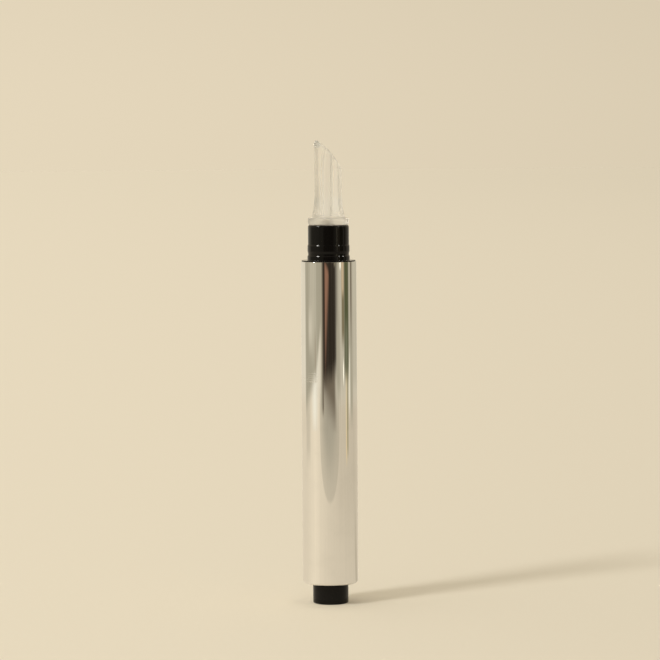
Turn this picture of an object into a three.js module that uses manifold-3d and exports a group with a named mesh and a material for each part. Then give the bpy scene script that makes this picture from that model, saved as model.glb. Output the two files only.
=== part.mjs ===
// A click pen for lip gloss, standing on its push button. Millimetres, +Z up, origin under the button.
// Each press of the button turns a drive sleeve through a fast helix; its pawls turn a ratchet nut by
// one tooth, and the nut screws a rod with two flats upwards, which pushes the piston and the gloss.
import * as THREE from "three";
import { mergeVertices } from "three/addons/utils/BufferGeometryUtils.js";
import Module from "manifold-3d";

const wasm = await Module();
wasm.setup();

// Driving dimensions of the pen
const BARREL_DIAMETER = 13.5;
const BARREL_LENGTH = 78.6;
const BUTTON_DIAMETER = 8.6;
const BUTTON_STANDS_OUT = 4.9;
const COLLAR_DIAMETER = 9.98;
const COLLAR_HEIGHT = 8.9;
const TIP_DIAMETER = 6.75;
const TIP_HEIGHT = 20.3;
const PRESS_TRAVEL = 2.5;
const PISTON_STROKE = 25;

// Walls, clearances and facets
const SLEEVE_WALL = 0.4;
const LIP_THICKNESS = 0.5;
const FIT = 0.05;
const RUN = 0.1;
const CAM_PLAY = 0.18;
const FLANGE_PLAY = 0.15;
const BUTTON_GAP = 0.25;
const ROD_GAP = 0.25;
const FOOT_ROUNDING = 0.85;
const RIM_ROUNDING = 0.12;
const BUTTON_ROUNDING = 0.35;
const INNER_SIDES = 22;
const OUTER_SIDES = 28;
const SLEEVE_SIDES = 40;
const HELIX_STEP = 0.85;
const ARC_DIVISIONS = 1;
const OVERRUN = 1;
const OVERLAP = 0.2;

// Radii of the inner pieces
const SLEEVE_RADIUS = BARREL_DIAMETER / 2;
const INNER_RADIUS = SLEEVE_RADIUS - SLEEVE_WALL - FIT;
const HOUSING_BORE = 5.3;
const FLANGE_RADIUS = HOUSING_BORE - FLANGE_PLAY;
const CARTRIDGE_BORE = 5.2;
const BUTTON_RADIUS = BUTTON_DIAMETER / 2;
const ROD_RADIUS = 1.8;
const ROD_FLAT = 1.25;

// Ratchet and helix
const TEETH = 8;
const PAWLS = 4;
const TOOTH_TIP = 3.6;
const TOOTH_ROOT = 3.1;
const HELIX_STARTS = 3;
const HELIX_LEAD = 20;
const LOBE_TIP = 3.35;
const LOBE_ROOT = 2.65;
const LOBE_HALF_ANGLE = THREE.MathUtils.degToRad(20);

// Return spring
const SPRING_RADIUS = 3.85;
const WIRE_DIAMETER = 0.5;
const SPRING_TURNS = 7;
const END_PITCH = 0.95;

// Heights of the stack, from the surface that the pen stands on
const SLEEVE_FOOT = BUTTON_STANDS_OUT;
const SLEEVE_TOP = SLEEVE_FOOT + BARREL_LENGTH;
const LIP_TOP = SLEEVE_FOOT + LIP_THICKNESS;
const BUTTON_FLOOR = 1.2;
const BUTTON_TOP = 14;
const HOUSING_FOOT = LIP_TOP + FIT;
const SPRING_SEAT = 23.7;
const BEARING_TOP = 24.5;
const DRIVE_FOOT = 8.5;
const DRIVE_FLANGE_TOP = 25.6;
const NUT_FOOT = DRIVE_FLANGE_TOP + RUN;
const RING_SEAT = 28.45;
const GUIDE_FOOT = 32.05;
const HOUSING_TOP = 35;
const GUIDE_FLANGE_TOP = HOUSING_TOP + FIT + 0.8;
const CARTRIDGE_FOOT = GUIDE_FLANGE_TOP + FIT;
const PISTON_FOOT = 37.3;
const ROD_FOOT = BUTTON_FLOOR + PRESS_TRAVEL + 0.5;
const HOLDER_FOOT = 73;
const COLLAR_TOP = SLEEVE_TOP + COLLAR_HEIGHT;
const STEM_FOOT = 85.05;
const FEED_TUBE_FOOT = 76;
const FEED_TUBE_TOP = 91.9;

// A closed outline through corners [x, y, fillet]; a fillet rounds its corner with an arc.
function outline(corners, divisions) {
  const path = new THREE.Path();
  corners.forEach(([x, y, fillet = 0], index) => {
    const corner = new THREE.Vector2(x, y);
    const [beforeX, beforeY] = corners.at(index - 1);
    const [afterX, afterY] = corners[(index + 1) % corners.length];
    const before = new THREE.Vector2(beforeX, beforeY).sub(corner).normalize();
    const after = new THREE.Vector2(afterX, afterY).sub(corner).normalize();
    const half = Math.acos(THREE.MathUtils.clamp(before.dot(after), -1, 1)) / 2;
    const start = corner.clone().addScaledVector(before, fillet / Math.tan(half));
    if (index === 0) {
      path.moveTo(start.x, start.y);
    } else {
      path.lineTo(start.x, start.y);
    }
    if (fillet > 0) {
      const end = corner.clone().addScaledVector(after, fillet / Math.tan(half));
      const centre = before.clone().add(after).setLength(fillet / Math.sin(half)).add(corner);
      const startAngle = start.sub(centre).angle();
      const endAngle = end.sub(centre).angle();
      path.absarc(centre.x, centre.y, fillet, startAngle, endAngle, before.cross(after) > 0);
    }
  });
  path.closePath();
  return path.getPoints(divisions);
}

// A solid of revolution about Z from an outline of [radius, height, fillet] corners.
function turned(corners, sides = INNER_SIDES, divisions = ARC_DIVISIONS) {
  const points = outline(corners, divisions);
  if (THREE.ShapeUtils.area(points) < 0) {
    points.reverse();
  }
  return new THREE.LatheGeometry(points, sides).rotateX(Math.PI / 2);
}

// A straight extrusion of a shape from one height to another.
function extruded(shape, from, to, curveSegments = 2) {
  const settings = { depth: to - from, bevelEnabled: false, curveSegments };
  return new THREE.ExtrudeGeometry(shape, settings).translate(0, 0, from);
}

function block(width, depth, from, to) {
  return new THREE.BoxGeometry(width, depth, to - from).translate(0, 0, (from + to) / 2);
}

function solid(geometry) {
  const bare = new THREE.BufferGeometry();
  bare.setAttribute("position", geometry.getAttribute("position"));
  bare.setIndex(geometry.index);
  const merged = mergeVertices(bare, 1e-4);
  const vertProperties = merged.getAttribute("position").array;
  const triVerts = new Uint32Array(merged.index.array);
  return new wasm.Manifold(new wasm.Mesh({ numProp: 3, vertProperties, triVerts }));
}

function geometryOf(body) {
  const mesh = body.getMesh();
  const geometry = new THREE.BufferGeometry();
  geometry.setAttribute("position", new THREE.BufferAttribute(mesh.vertProperties, 3));
  geometry.setIndex(new THREE.BufferAttribute(mesh.triVerts, 1));
  geometry.computeVertexNormals();
  return geometry;
}

function joined(first, ...others) {
  return others.reduce((body, other) => body.add(solid(other)), solid(first));
}

// Copies of a geometry evenly spaced about Z.
function around(count, geometry) {
  const step = (2 * Math.PI) / count;
  return Array.from({ length: count }, (_, index) => geometry.clone().rotateZ(index * step));
}

// Quads between rings of equally many points, closed at both ends by fans round a middle point.
function lofted(rings) {
  const sides = rings[0].length;
  const points = rings.flat();
  const foot = points.length;
  const crown = foot + 1;
  const last = (rings.length - 1) * sides;
  const middle = (ring) => ring.reduce((sum, p) => sum.add(p), new THREE.Vector3()).divideScalar(sides);
  const index = [];
  for (let side = 0; side < sides; side += 1) {
    const next = (side + 1) % sides;
    index.push(foot, next, side);
    index.push(crown, last + side, last + next);
    for (let ring = 0; ring < rings.length - 1; ring += 1) {
      const low = ring * sides;
      const high = low + sides;
      index.push(low + side, low + next, high + next);
      index.push(low + side, high + next, high + side);
    }
  }
  points.push(middle(rings[0]), middle(rings.at(-1)));
  const geometry = new THREE.BufferGeometry().setFromPoints(points);
  geometry.setIndex(index);
  geometry.computeVertexNormals();
  return geometry;
}

// Drawn tube with a rounded foot that turns in under the button's flange
function barrelSleeve() {
  const hole = BUTTON_RADIUS + BUTTON_GAP;
  const bore = SLEEVE_RADIUS - SLEEVE_WALL;
  const corners = [
    [hole, 0],
    [SLEEVE_RADIUS, 0, FOOT_ROUNDING],
    [SLEEVE_RADIUS, BARREL_LENGTH, RIM_ROUNDING],
    [bore, BARREL_LENGTH],
    [bore, LIP_THICKNESS, FOOT_ROUNDING - SLEEVE_WALL],
    [hole, LIP_THICKNESS],
  ];
  return turned(corners, SLEEVE_SIDES, 2 * ARC_DIVISIONS);
}

// Inner tube: keyways for the button below, a bearing shelf, then seats for the ring and the guide
const KEY_COUNT = 3;
const KEY_WIDTH = 1.4;
const KEY_RADIUS = 5.65;
const KEYWAY_RADIUS = 4.8;
const KEYWAY_TOP = 5.1;
function mechanismHousing() {
  const height = HOUSING_TOP - HOUSING_FOOT;
  const shelf = SPRING_SEAT - HOUSING_FOOT;
  const bearing = BEARING_TOP - HOUSING_FOOT;
  const seat = RING_SEAT - HOUSING_FOOT;
  const tube = turned([
    [HOUSING_BORE, 0],
    [INNER_RADIUS, 0, 0.6],
    [INNER_RADIUS, height],
    [HOUSING_BORE, height],
    [HOUSING_BORE, seat],
    [FLANGE_RADIUS, seat],
    [FLANGE_RADIUS, bearing],
    [LOBE_TIP + RUN, bearing],
    [LOBE_TIP + RUN, shelf],
    [HOUSING_BORE, shelf],
  ]);
  const slotDepth = KEY_RADIUS + RUN - KEYWAY_RADIUS;
  const slotMiddle = KEYWAY_RADIUS + slotDepth / 2;
  const slot = block(slotDepth, KEY_WIDTH + 2 * RUN, -OVERRUN, KEYWAY_TOP).translate(slotMiddle, 0, 0);
  const slots = around(KEY_COUNT, slot);
  return geometryOf(slots.reduce((body, cutter) => body.subtract(solid(cutter)), solid(tube)));
}

// Lobed section shared by the drive sleeve and, with clearance, by the button's cam collar
function lobedSection(clearance) {
  const shape = new THREE.Shape();
  const half = LOBE_HALF_ANGLE + clearance / LOBE_ROOT;
  for (let start = 0; start < HELIX_STARTS; start += 1) {
    const middle = (start * 2 * Math.PI) / HELIX_STARTS;
    const nextEdge = middle + (2 * Math.PI) / HELIX_STARTS - half;
    shape.absarc(0, 0, LOBE_TIP + clearance, middle - half, middle + half);
    shape.absarc(0, 0, LOBE_ROOT + clearance, middle + half, nextEdge);
  }
  shape.closePath();
  return shape;
}

// The lobed section swept up a right-hand helix; heights are from the surface the pen stands on
function lobedHelix(clearance, from, to) {
  const steps = Math.ceil((to - from) / HELIX_STEP);
  const settings = { depth: to - from, steps, bevelEnabled: false, curveSegments: 2 };
  const geometry = new THREE.ExtrudeGeometry(lobedSection(clearance), settings).translate(0, 0, from);
  const position = geometry.getAttribute("position");
  const vertex = new THREE.Vector3();
  const axis = new THREE.Vector3(0, 0, 1);
  for (let index = 0; index < position.count; index += 1) {
    vertex.fromBufferAttribute(position, index);
    vertex.applyAxisAngle(axis, ((vertex.z - DRIVE_FOOT) * 2 * Math.PI) / HELIX_LEAD);
    position.setXYZ(index, vertex.x, vertex.y, vertex.z);
  }
  return geometry;
}

// Push button: closed cup, retaining flange with three keys, and a cam collar with helical grooves
function clickButton() {
  const flangeFoot = HOUSING_FOOT + FIT;
  const flangeTop = 7.6;
  const camFoot = 9;
  const camBore = LOBE_ROOT + CAM_PLAY;
  const cavity = 3.5;
  const corners = [
    [0, 0],
    [BUTTON_RADIUS, 0, BUTTON_ROUNDING],
    [BUTTON_RADIUS, flangeFoot],
    [FLANGE_RADIUS, flangeFoot],
    [FLANGE_RADIUS, flangeTop],
    [BUTTON_RADIUS, flangeTop],
    [BUTTON_RADIUS, BUTTON_TOP],
    [camBore, BUTTON_TOP],
    [camBore, camFoot],
    [cavity, camFoot - (cavity - camBore)],
    [cavity, BUTTON_FLOOR],
    [0, BUTTON_FLOOR],
  ];
  const keyDepth = KEY_RADIUS - BUTTON_RADIUS;
  const keyMiddle = BUTTON_RADIUS + keyDepth / 2;
  const key = block(keyDepth, KEY_WIDTH, flangeFoot, flangeTop).translate(keyMiddle, 0, 0);
  const body = joined(turned(corners, OUTER_SIDES), ...around(KEY_COUNT, key));
  const grooves = lobedHelix(CAM_PLAY, camFoot - OVERRUN, BUTTON_TOP + OVERRUN);
  return geometryOf(body.subtract(solid(grooves)));
}

// One flexible pawl: a spiral arm from a post near the rim to a tip that stands on the tooth crests
const PAWL_SWEEP = THREE.MathUtils.degToRad(56);
const PAWL_STEPS = 7;
const PAWL_THICKNESS = 0.5;
const PAWL_HEIGHT = 2.1;
function pawlShape(rootRadius, postSweep) {
  const tipRadius = TOOTH_TIP + RUN;
  const polar = (radius, angle) => new THREE.Vector2(radius * Math.cos(angle), radius * Math.sin(angle));
  const inner = [];
  const outer = [];
  for (let step = 0; step <= PAWL_STEPS; step += 1) {
    const share = step / PAWL_STEPS;
    const radius = THREE.MathUtils.lerp(tipRadius, rootRadius - PAWL_THICKNESS, share);
    const thickness = PAWL_THICKNESS * Math.min(1, 0.5 + 2 * share);
    inner.push(polar(radius, share * PAWL_SWEEP));
    outer.unshift(polar(radius + thickness, share * PAWL_SWEEP));
  }
  const postEnd = PAWL_SWEEP + postSweep;
  const post = [polar(rootRadius - PAWL_THICKNESS, postEnd), polar(rootRadius, postEnd)];
  return new THREE.Shape([...inner, ...post, ...outer]);
}

// Helical lobes below, a plain shank, a journal in the bearing shelf and a flange that carries the pawls
function driveSleeve() {
  const lobesTop = 17;
  const journalFoot = 21.8;
  const flangeFoot = BEARING_TOP + RUN;
  const flangeRadius = 4.95;
  const bore = ROD_RADIUS + ROD_GAP;
  const shank = turned([
    [0, lobesTop - OVERLAP],
    [LOBE_ROOT, lobesTop - OVERLAP],
    [LOBE_ROOT, journalFoot],
    [LOBE_TIP, journalFoot + LOBE_TIP - LOBE_ROOT],
    [LOBE_TIP, flangeFoot],
    [flangeRadius, flangeFoot],
    [flangeRadius, DRIVE_FLANGE_TOP],
    [0, DRIVE_FLANGE_TOP],
  ]);
  const armFoot = DRIVE_FLANGE_TOP + 0.3;
  const armTop = armFoot + PAWL_HEIGHT;
  const postWidth = 1;
  const postRadius = flangeRadius - PAWL_THICKNESS / 2 - RUN;
  const arm = extruded(pawlShape(flangeRadius, 0), armFoot, armTop);
  const post = block(PAWL_THICKNESS, postWidth, DRIVE_FLANGE_TOP - OVERLAP, armTop)
    .translate(postRadius, 0, 0)
    .rotateZ(PAWL_SWEEP);
  const lobes = lobedHelix(0, DRIVE_FOOT, lobesTop);
  const body = joined(lobes, shank, ...around(PAWLS, arm), ...around(PAWLS, post));
  const drill = turned([
    [0, DRIVE_FOOT - OVERRUN],
    [bore, DRIVE_FOOT - OVERRUN],
    [bore, DRIVE_FLANGE_TOP + OVERRUN],
    [0, DRIVE_FLANGE_TOP + OVERRUN],
  ]);
  return geometryOf(body.subtract(solid(drill))).translate(0, 0, -DRIVE_FOOT);
}

// Saw-toothed outline: each tooth rises slowly to its crest and drops back along a radius
function sawShape() {
  const pitch = (2 * Math.PI) / TEETH;
  const rises = 4;
  const points = [];
  for (let tooth = 0; tooth < TEETH; tooth += 1) {
    for (let step = 0; step <= rises; step += 1) {
      const angle = (tooth + step / rises) * pitch;
      const radius = THREE.MathUtils.lerp(TOOTH_ROOT, TOOTH_TIP, step / rises);
      points.push(new THREE.Vector2(radius * Math.cos(angle), radius * Math.sin(angle)));
    }
  }
  return new THREE.Shape(points);
}

// Nut with one row of saw teeth for the drive pawls and one for the check pawls, and a thrust flange
function ratchetNut() {
  const driveRowTop = 2.5;
  const checkRowFoot = 2.95;
  const checkRowTop = 5.15;
  const flangeFoot = 5.35;
  const flangeRadius = 4.4;
  const flangeRounding = 0.2;
  const hubRadius = TOOTH_ROOT - RUN;
  const height = GUIDE_FOOT - NUT_FOOT - RUN;
  const bore = ROD_RADIUS + RUN;
  const hub = turned([
    [bore, 0],
    [hubRadius, 0],
    [hubRadius, flangeFoot],
    [flangeRadius, flangeFoot],
    [flangeRadius, height, flangeRounding],
    [bore, height],
  ]);
  const drill = turned([
    [0, -OVERRUN],
    [bore + OVERLAP, -OVERRUN],
    [bore + OVERLAP, height + OVERRUN],
    [0, height + OVERRUN],
  ]);
  const rows = joined(extruded(sawShape(), 0, driveRowTop), extruded(sawShape(), checkRowFoot, checkRowTop));
  return geometryOf(solid(hub).add(rows.subtract(solid(drill))));
}

// Fixed ring of pawls round the nut's upper row of teeth
const CHECK_POST_SWEEP = THREE.MathUtils.degToRad(12);
function checkPawlRing() {
  const rim = 4.75;
  const armFoot = 0.1;
  const height = GUIDE_FOOT - RING_SEAT - 2 * FIT;
  const ring = turned([
    [rim, 0],
    [HOUSING_BORE - FIT, 0],
    [HOUSING_BORE - FIT, height],
    [rim, height],
  ]);
  const arm = extruded(pawlShape(rim + OVERLAP, CHECK_POST_SWEEP), armFoot, armFoot + PAWL_HEIGHT);
  return geometryOf(joined(ring, ...around(PAWLS, arm)));
}

// Two-flat outline of the rod, with clearance for the hole that guides it
const ROD_ARC_DIVISIONS = 4;
function flattedShape(clearance) {
  const radius = ROD_RADIUS + clearance;
  const corner = Math.asin((ROD_FLAT + clearance) / radius);
  const shape = new THREE.Shape();
  shape.absarc(0, 0, radius, -corner, corner);
  shape.absarc(0, 0, radius, Math.PI - corner, Math.PI + corner);
  shape.closePath();
  return shape;
}

// Plug between the housing and the cartridge, whose hole lets the rod slide and stops it turning
function rodGuide() {
  const flangeFoot = HOUSING_TOP + FIT - GUIDE_FOOT;
  const flangeTop = GUIDE_FLANGE_TOP - GUIDE_FOOT;
  const spigotTop = 4.95;
  const pocketRadius = 3.4;
  const pocketFloor = flangeTop - 0.6;
  const leadIn = 0.3;
  const plug = turned([
    [0, 0],
    [HOUSING_BORE - FIT, 0, leadIn],
    [HOUSING_BORE - FIT, flangeFoot],
    [INNER_RADIUS, flangeFoot],
    [INNER_RADIUS, flangeTop],
    [CARTRIDGE_BORE - RUN, flangeTop],
    [CARTRIDGE_BORE - RUN, spigotTop, leadIn],
    [pocketRadius, spigotTop],
    [pocketRadius, pocketFloor, leadIn],
    [0, pocketFloor],
  ]);
  const hole = extruded(flattedShape(RUN), -OVERRUN, spigotTop + OVERRUN, ROD_ARC_DIVISIONS);
  return geometryOf(solid(plug).subtract(solid(hole)));
}

// Rod with two flats and a snap head for the piston
const SOCKET_FOOT = 2.8;
const SOCKET_LIP_TOP = 3.4;
const SOCKET_TOP = 5.3;
const ROD_NECK_RADIUS = 1.1;
const ROD_HEAD_RADIUS = 1.7;
function feedRod() {
  const local = (pistonHeight) => PISTON_FOOT + pistonHeight - ROD_FOOT;
  const neckFoot = local(SOCKET_FOOT - RUN);
  const headFoot = local(SOCKET_LIP_TOP + RUN);
  const headTop = local(SOCKET_TOP - 2 * RUN);
  const headRounding = 0.2;
  const headTaper = ROD_HEAD_RADIUS - ROD_NECK_RADIUS;
  const head = turned([
    [0, neckFoot - OVERLAP],
    [ROD_NECK_RADIUS, neckFoot - OVERLAP],
    [ROD_NECK_RADIUS, headFoot],
    [ROD_HEAD_RADIUS, headFoot + 2 * RUN, headRounding],
    [ROD_HEAD_RADIUS, headTop - headTaper],
    [ROD_NECK_RADIUS, headTop],
    [0, headTop],
  ]);
  return geometryOf(joined(extruded(flattedShape(0), 0, neckFoot, ROD_ARC_DIVISIONS), head));
}

// Piston: two wiper lips, a hollow skirt, a socket for the rod's head and a low cone on top
const PISTON_RIM = 6;
const PISTON_CONE = 7.2;
const PISTON_CONE_FOOT = 4.4;
const PISTON_CONE_TOP = 1.2;
function piston() {
  const lip = CARTRIDGE_BORE - FIT;
  const waist = lip - 0.35;
  const lipHeight = 0.7;
  const lipTaper = 0.5;
  const skirtBore = 4.2;
  const hubRadius = 2.9;
  const hollowTop = 4.4;
  const headRoom = ROD_HEAD_RADIUS + FLANGE_PLAY;
  const rodRoom = ROD_RADIUS + FLANGE_PLAY;
  const neckRoom = ROD_NECK_RADIUS + FLANGE_PLAY;
  return turned([
    [0, SOCKET_TOP],
    [headRoom, SOCKET_TOP],
    [headRoom, SOCKET_LIP_TOP + RUN],
    [neckRoom, SOCKET_LIP_TOP],
    [neckRoom, SOCKET_FOOT],
    [rodRoom, SOCKET_FOOT],
    [rodRoom, 0],
    [hubRadius, 0],
    [hubRadius, hollowTop],
    [skirtBore, hollowTop],
    [skirtBore, 0],
    [lip, 0],
    [lip, lipHeight],
    [waist, lipHeight + lipTaper],
    [waist, PISTON_RIM - lipHeight - lipTaper],
    [lip, PISTON_RIM - lipHeight],
    [lip, PISTON_RIM],
    [PISTON_CONE_FOOT, PISTON_RIM],
    [PISTON_CONE_TOP, PISTON_CONE],
    [0, PISTON_CONE],
  ]);
}

// Reservoir tube with an inner cone, a sloping shoulder and a neck that plugs into the holder
const GLOSS_LEFT = 0.7;
const BORE_TOP = PISTON_FOOT + PISTON_RIM + PISTON_STROKE + GLOSS_LEFT;
const NECK_BORE = 1.2;
const NECK_RADIUS = 3;
const NECK_TOP = 82;
function cartridge() {
  const local = (height) => height - CARTRIDGE_FOOT;
  const shoulderFoot = BORE_TOP + 2;
  const shoulderTop = BORE_TOP + 3.5;
  const coneTop = BORE_TOP + 2.5;
  const rounding = 0.4;
  return turned([
    [CARTRIDGE_BORE, 0],
    [INNER_RADIUS, 0],
    [INNER_RADIUS, local(shoulderFoot), rounding],
    [NECK_RADIUS, local(shoulderTop), rounding],
    [NECK_RADIUS, local(NECK_TOP), rounding],
    [NECK_BORE, local(NECK_TOP)],
    [NECK_BORE, local(coneTop)],
    [CARTRIDGE_BORE, local(BORE_TOP)],
  ]);
}

// Gloss between the piston and the reservoir's cone
function glossFill() {
  const radius = CARTRIDGE_BORE - RUN;
  const rim = PISTON_RIM + RUN;
  const top = BORE_TOP - PISTON_FOOT - RUN;
  return turned([
    [0, PISTON_CONE + RUN],
    [PISTON_CONE_TOP, PISTON_CONE + RUN],
    [PISTON_CONE_FOOT, rim],
    [radius, rim],
    [radius, top],
    [0, top],
  ]);
}

// Wire of the return spring: even pitch in the middle and nearly closed end turns
function springPoint(turn, height) {
  const innerPitch = (height - WIRE_DIAMETER - 2 * END_PITCH) / (SPRING_TURNS - 2);
  const middleTurns = THREE.MathUtils.clamp(turn - 1, 0, SPRING_TURNS - 2);
  const rise = WIRE_DIAMETER / 2 + END_PITCH * (turn - middleTurns) + innerPitch * middleTurns;
  const angle = 2 * Math.PI * turn;
  return new THREE.Vector3(SPRING_RADIUS * Math.cos(angle), SPRING_RADIUS * Math.sin(angle), rise);
}

function returnSpring() {
  const height = SPRING_SEAT - BUTTON_TOP - 2 * FIT;
  const stepsPerTurn = 16;
  const wireSides = 5;
  const steps = SPRING_TURNS * stepsPerTurn;
  const centres = Array.from({ length: steps + 1 }, (_, step) => springPoint(step / stepsPerTurn, height));
  const rings = centres.map((centre) => {
    const outward = new THREE.Vector3(centre.x, centre.y, 0).normalize();
    return Array.from({ length: wireSides }, (_, side) => {
      const angle = (2 * Math.PI * side) / wireSides;
      const point = centre.clone().addScaledVector(outward, (Math.cos(angle) * WIRE_DIAMETER) / 2);
      point.z -= (Math.sin(angle) * WIRE_DIAMETER) / 2;
      return point;
    });
  });
  let leastGap = Infinity;
  centres.forEach((centre, step) => {
    for (let later = step + stepsPerTurn / 2; later <= steps; later += 1) {
      leastGap = Math.min(leastGap, centre.distanceTo(centres[later]) - WIRE_DIAMETER);
    }
  });
  console.log(`return spring: least gap to itself ${leastGap.toFixed(2)} mm`);
  return lofted(rings);
}

// Black holder: double-walled plug in the sleeve, shoulder on its rim, collar with a snap bead, tip socket
const SOCKET_RADIUS = 2.7;
const PLUG_WALL = 0.8;
const SHOULDER_THICKNESS = 0.3;
const STEP_PROUD = 0.17;
const STEP_HEIGHT = 1.1;
const BEAD_PROUD = 0.13;
const BEAD_RISE = 1.6;
const BEAD_HEIGHT = 2.2;
const BEAD_FLANK = 0.6;
function applicatorHolder() {
  const rim = SLEEVE_TOP - HOLDER_FOOT;
  const shoulder = rim + SHOULDER_THICKNESS;
  const shoulderRadius = SLEEVE_RADIUS - SLEEVE_WALL / 2;
  const top = COLLAR_TOP - HOLDER_FOOT;
  const collar = COLLAR_DIAMETER / 2;
  const bead = collar + BEAD_PROUD;
  const step = collar + STEP_PROUD;
  const stepTop = shoulder + STEP_HEIGHT;
  const beadFoot = shoulder + BEAD_RISE;
  const beadTop = beadFoot + BEAD_HEIGHT;
  const neckTop = NECK_TOP - HOLDER_FOOT + RUN;
  const pocketTop = neckTop - PLUG_WALL;
  const socketFoot = STEM_FOOT - HOLDER_FOOT - FIT;
  const corners = [
    [NECK_RADIUS + RUN, 0],
    [NECK_RADIUS + RUN + PLUG_WALL, 0],
    [NECK_RADIUS + RUN + PLUG_WALL, pocketTop],
    [INNER_RADIUS - PLUG_WALL, pocketTop],
    [INNER_RADIUS - PLUG_WALL, 0],
    [INNER_RADIUS, 0],
    [INNER_RADIUS, rim],
    [shoulderRadius, rim],
    [shoulderRadius, shoulder, 0.1],
    [step, shoulder],
    [step, stepTop, 0.15],
    [collar, stepTop + FIT],
    [collar, beadFoot, 0.3],
    [bead, beadFoot + BEAD_FLANK, 0.5],
    [bead, beadTop - BEAD_FLANK, 0.5],
    [collar, beadTop, 0.3],
    [collar, top, 0.4],
    [SOCKET_RADIUS, top],
    [SOCKET_RADIUS, socketFoot],
    [NECK_BORE, socketFoot],
    [NECK_BORE, neckTop],
    [NECK_RADIUS + RUN, neckTop],
  ];
  return turned(corners, OUTER_SIDES);
}

// Thin tube from the cartridge's neck through the holder into the stem of the tip
const FEED_BORE = 0.7;
function feedTube() {
  const length = FEED_TUBE_TOP - FEED_TUBE_FOOT;
  return turned([
    [FEED_BORE, 0],
    [NECK_BORE - RUN, 0],
    [NECK_BORE - RUN, length],
    [FEED_BORE, length],
  ]);
}

// Silicone tip: stem, flange, flared foot and a cylinder cut by a crowned slanted face with a soft edge
const TIP_RADIUS = TIP_DIAMETER / 2;
const TIP_SIDES = 34;
const FLANGE_THICKNESS = 1.55;
const FLARE_RADIUS = 3.95;
const FLARE_HEIGHT = 5.4;
const FACE_DROP = 6.75;
const FACE_CROWN = 0.95;
const EDGE_WIDTH = 0.8;
const NOSE_ROUNDING = 1.0;
const SHOULDER_ROUNDING = 0.5;
const STEM_LEAD_IN = 0.3;
const FLANGE_CHAMFER = 0.15;
const CHANNEL_RADIUS = 0.85;
const CHANNEL_OFFSET = -0.3;
const OUTLET_X = 0.55;
const OUTLET_LENGTH = 2.7;
const OUTLET_WIDTH = 2;
const OUTLET_DEPTH = 0.5;
const STEM_LENGTH = COLLAR_TOP + FIT - STEM_FOOT;

// Height of the tip's upper surface over the point (x, y), before its edge is rounded
function faceHeight(x, noseHeight) {
  const share = (x + TIP_RADIUS - EDGE_WIDTH) / (2 * TIP_RADIUS - EDGE_WIDTH);
  return noseHeight - FACE_DROP * share + 4 * FACE_CROWN * share * (1 - share);
}

// A ring of the tip's skin at the given distance in from its wall
function faceRing(inset, noseHeight) {
  const radius = TIP_RADIUS - inset;
  const lip = Math.max(0, 1 - inset / EDGE_WIDTH);
  return Array.from({ length: TIP_SIDES }, (_, side) => {
    const angle = (2 * Math.PI * side) / TIP_SIDES;
    const x = radius * Math.cos(angle);
    const rounding = THREE.MathUtils.lerp(NOSE_ROUNDING, SHOULDER_ROUNDING, (1 + Math.cos(angle)) / 2);
    const height = faceHeight(x, noseHeight) - rounding * (1 - Math.sqrt(1 - lip * lip));
    return new THREE.Vector3(x, radius * Math.sin(angle), height);
  });
}

function roundRing(radius, height) {
  return Array.from({ length: TIP_SIDES }, (_, side) => {
    const angle = (2 * Math.PI * side) / TIP_SIDES;
    return new THREE.Vector3(radius * Math.cos(angle), radius * Math.sin(angle), height);
  });
}

// Shallow oval dish where the channel opens on the slanted face
function outletDish(noseHeight) {
  const step = 0.1;
  const rise = faceHeight(OUTLET_X + step, noseHeight) - faceHeight(OUTLET_X - step, noseHeight);
  return new THREE.SphereGeometry(1, 16, 8)
    .rotateX(Math.PI / 2)
    .scale(OUTLET_LENGTH / 2, OUTLET_WIDTH / 2, OUTLET_DEPTH)
    .rotateY(-Math.atan2(rise, 2 * step))
    .translate(OUTLET_X, 0, faceHeight(OUTLET_X, noseHeight));
}

// Feed channel from the tube's seat up to the outlet, bending towards it near the top
function feedChannel(noseHeight) {
  const route = new THREE.CatmullRomCurve3([
    new THREE.Vector3(CHANNEL_OFFSET, 0, FEED_TUBE_TOP - STEM_FOOT - OVERRUN),
    new THREE.Vector3(CHANNEL_OFFSET, 0, noseHeight - 11),
    new THREE.Vector3(CHANNEL_OFFSET, 0, noseHeight - 7),
    new THREE.Vector3(0, 0, noseHeight - 4.6),
    new THREE.Vector3(OUTLET_X, 0, faceHeight(OUTLET_X, noseHeight)),
    new THREE.Vector3(2 * OUTLET_X, 0, faceHeight(OUTLET_X, noseHeight) + OVERRUN),
  ]);
  const section = new THREE.Shape().absarc(0, 0, CHANNEL_RADIUS, 0, 2 * Math.PI);
  return new THREE.ExtrudeGeometry(section, { steps: 12, extrudePath: route, curveSegments: 5 });
}

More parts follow.
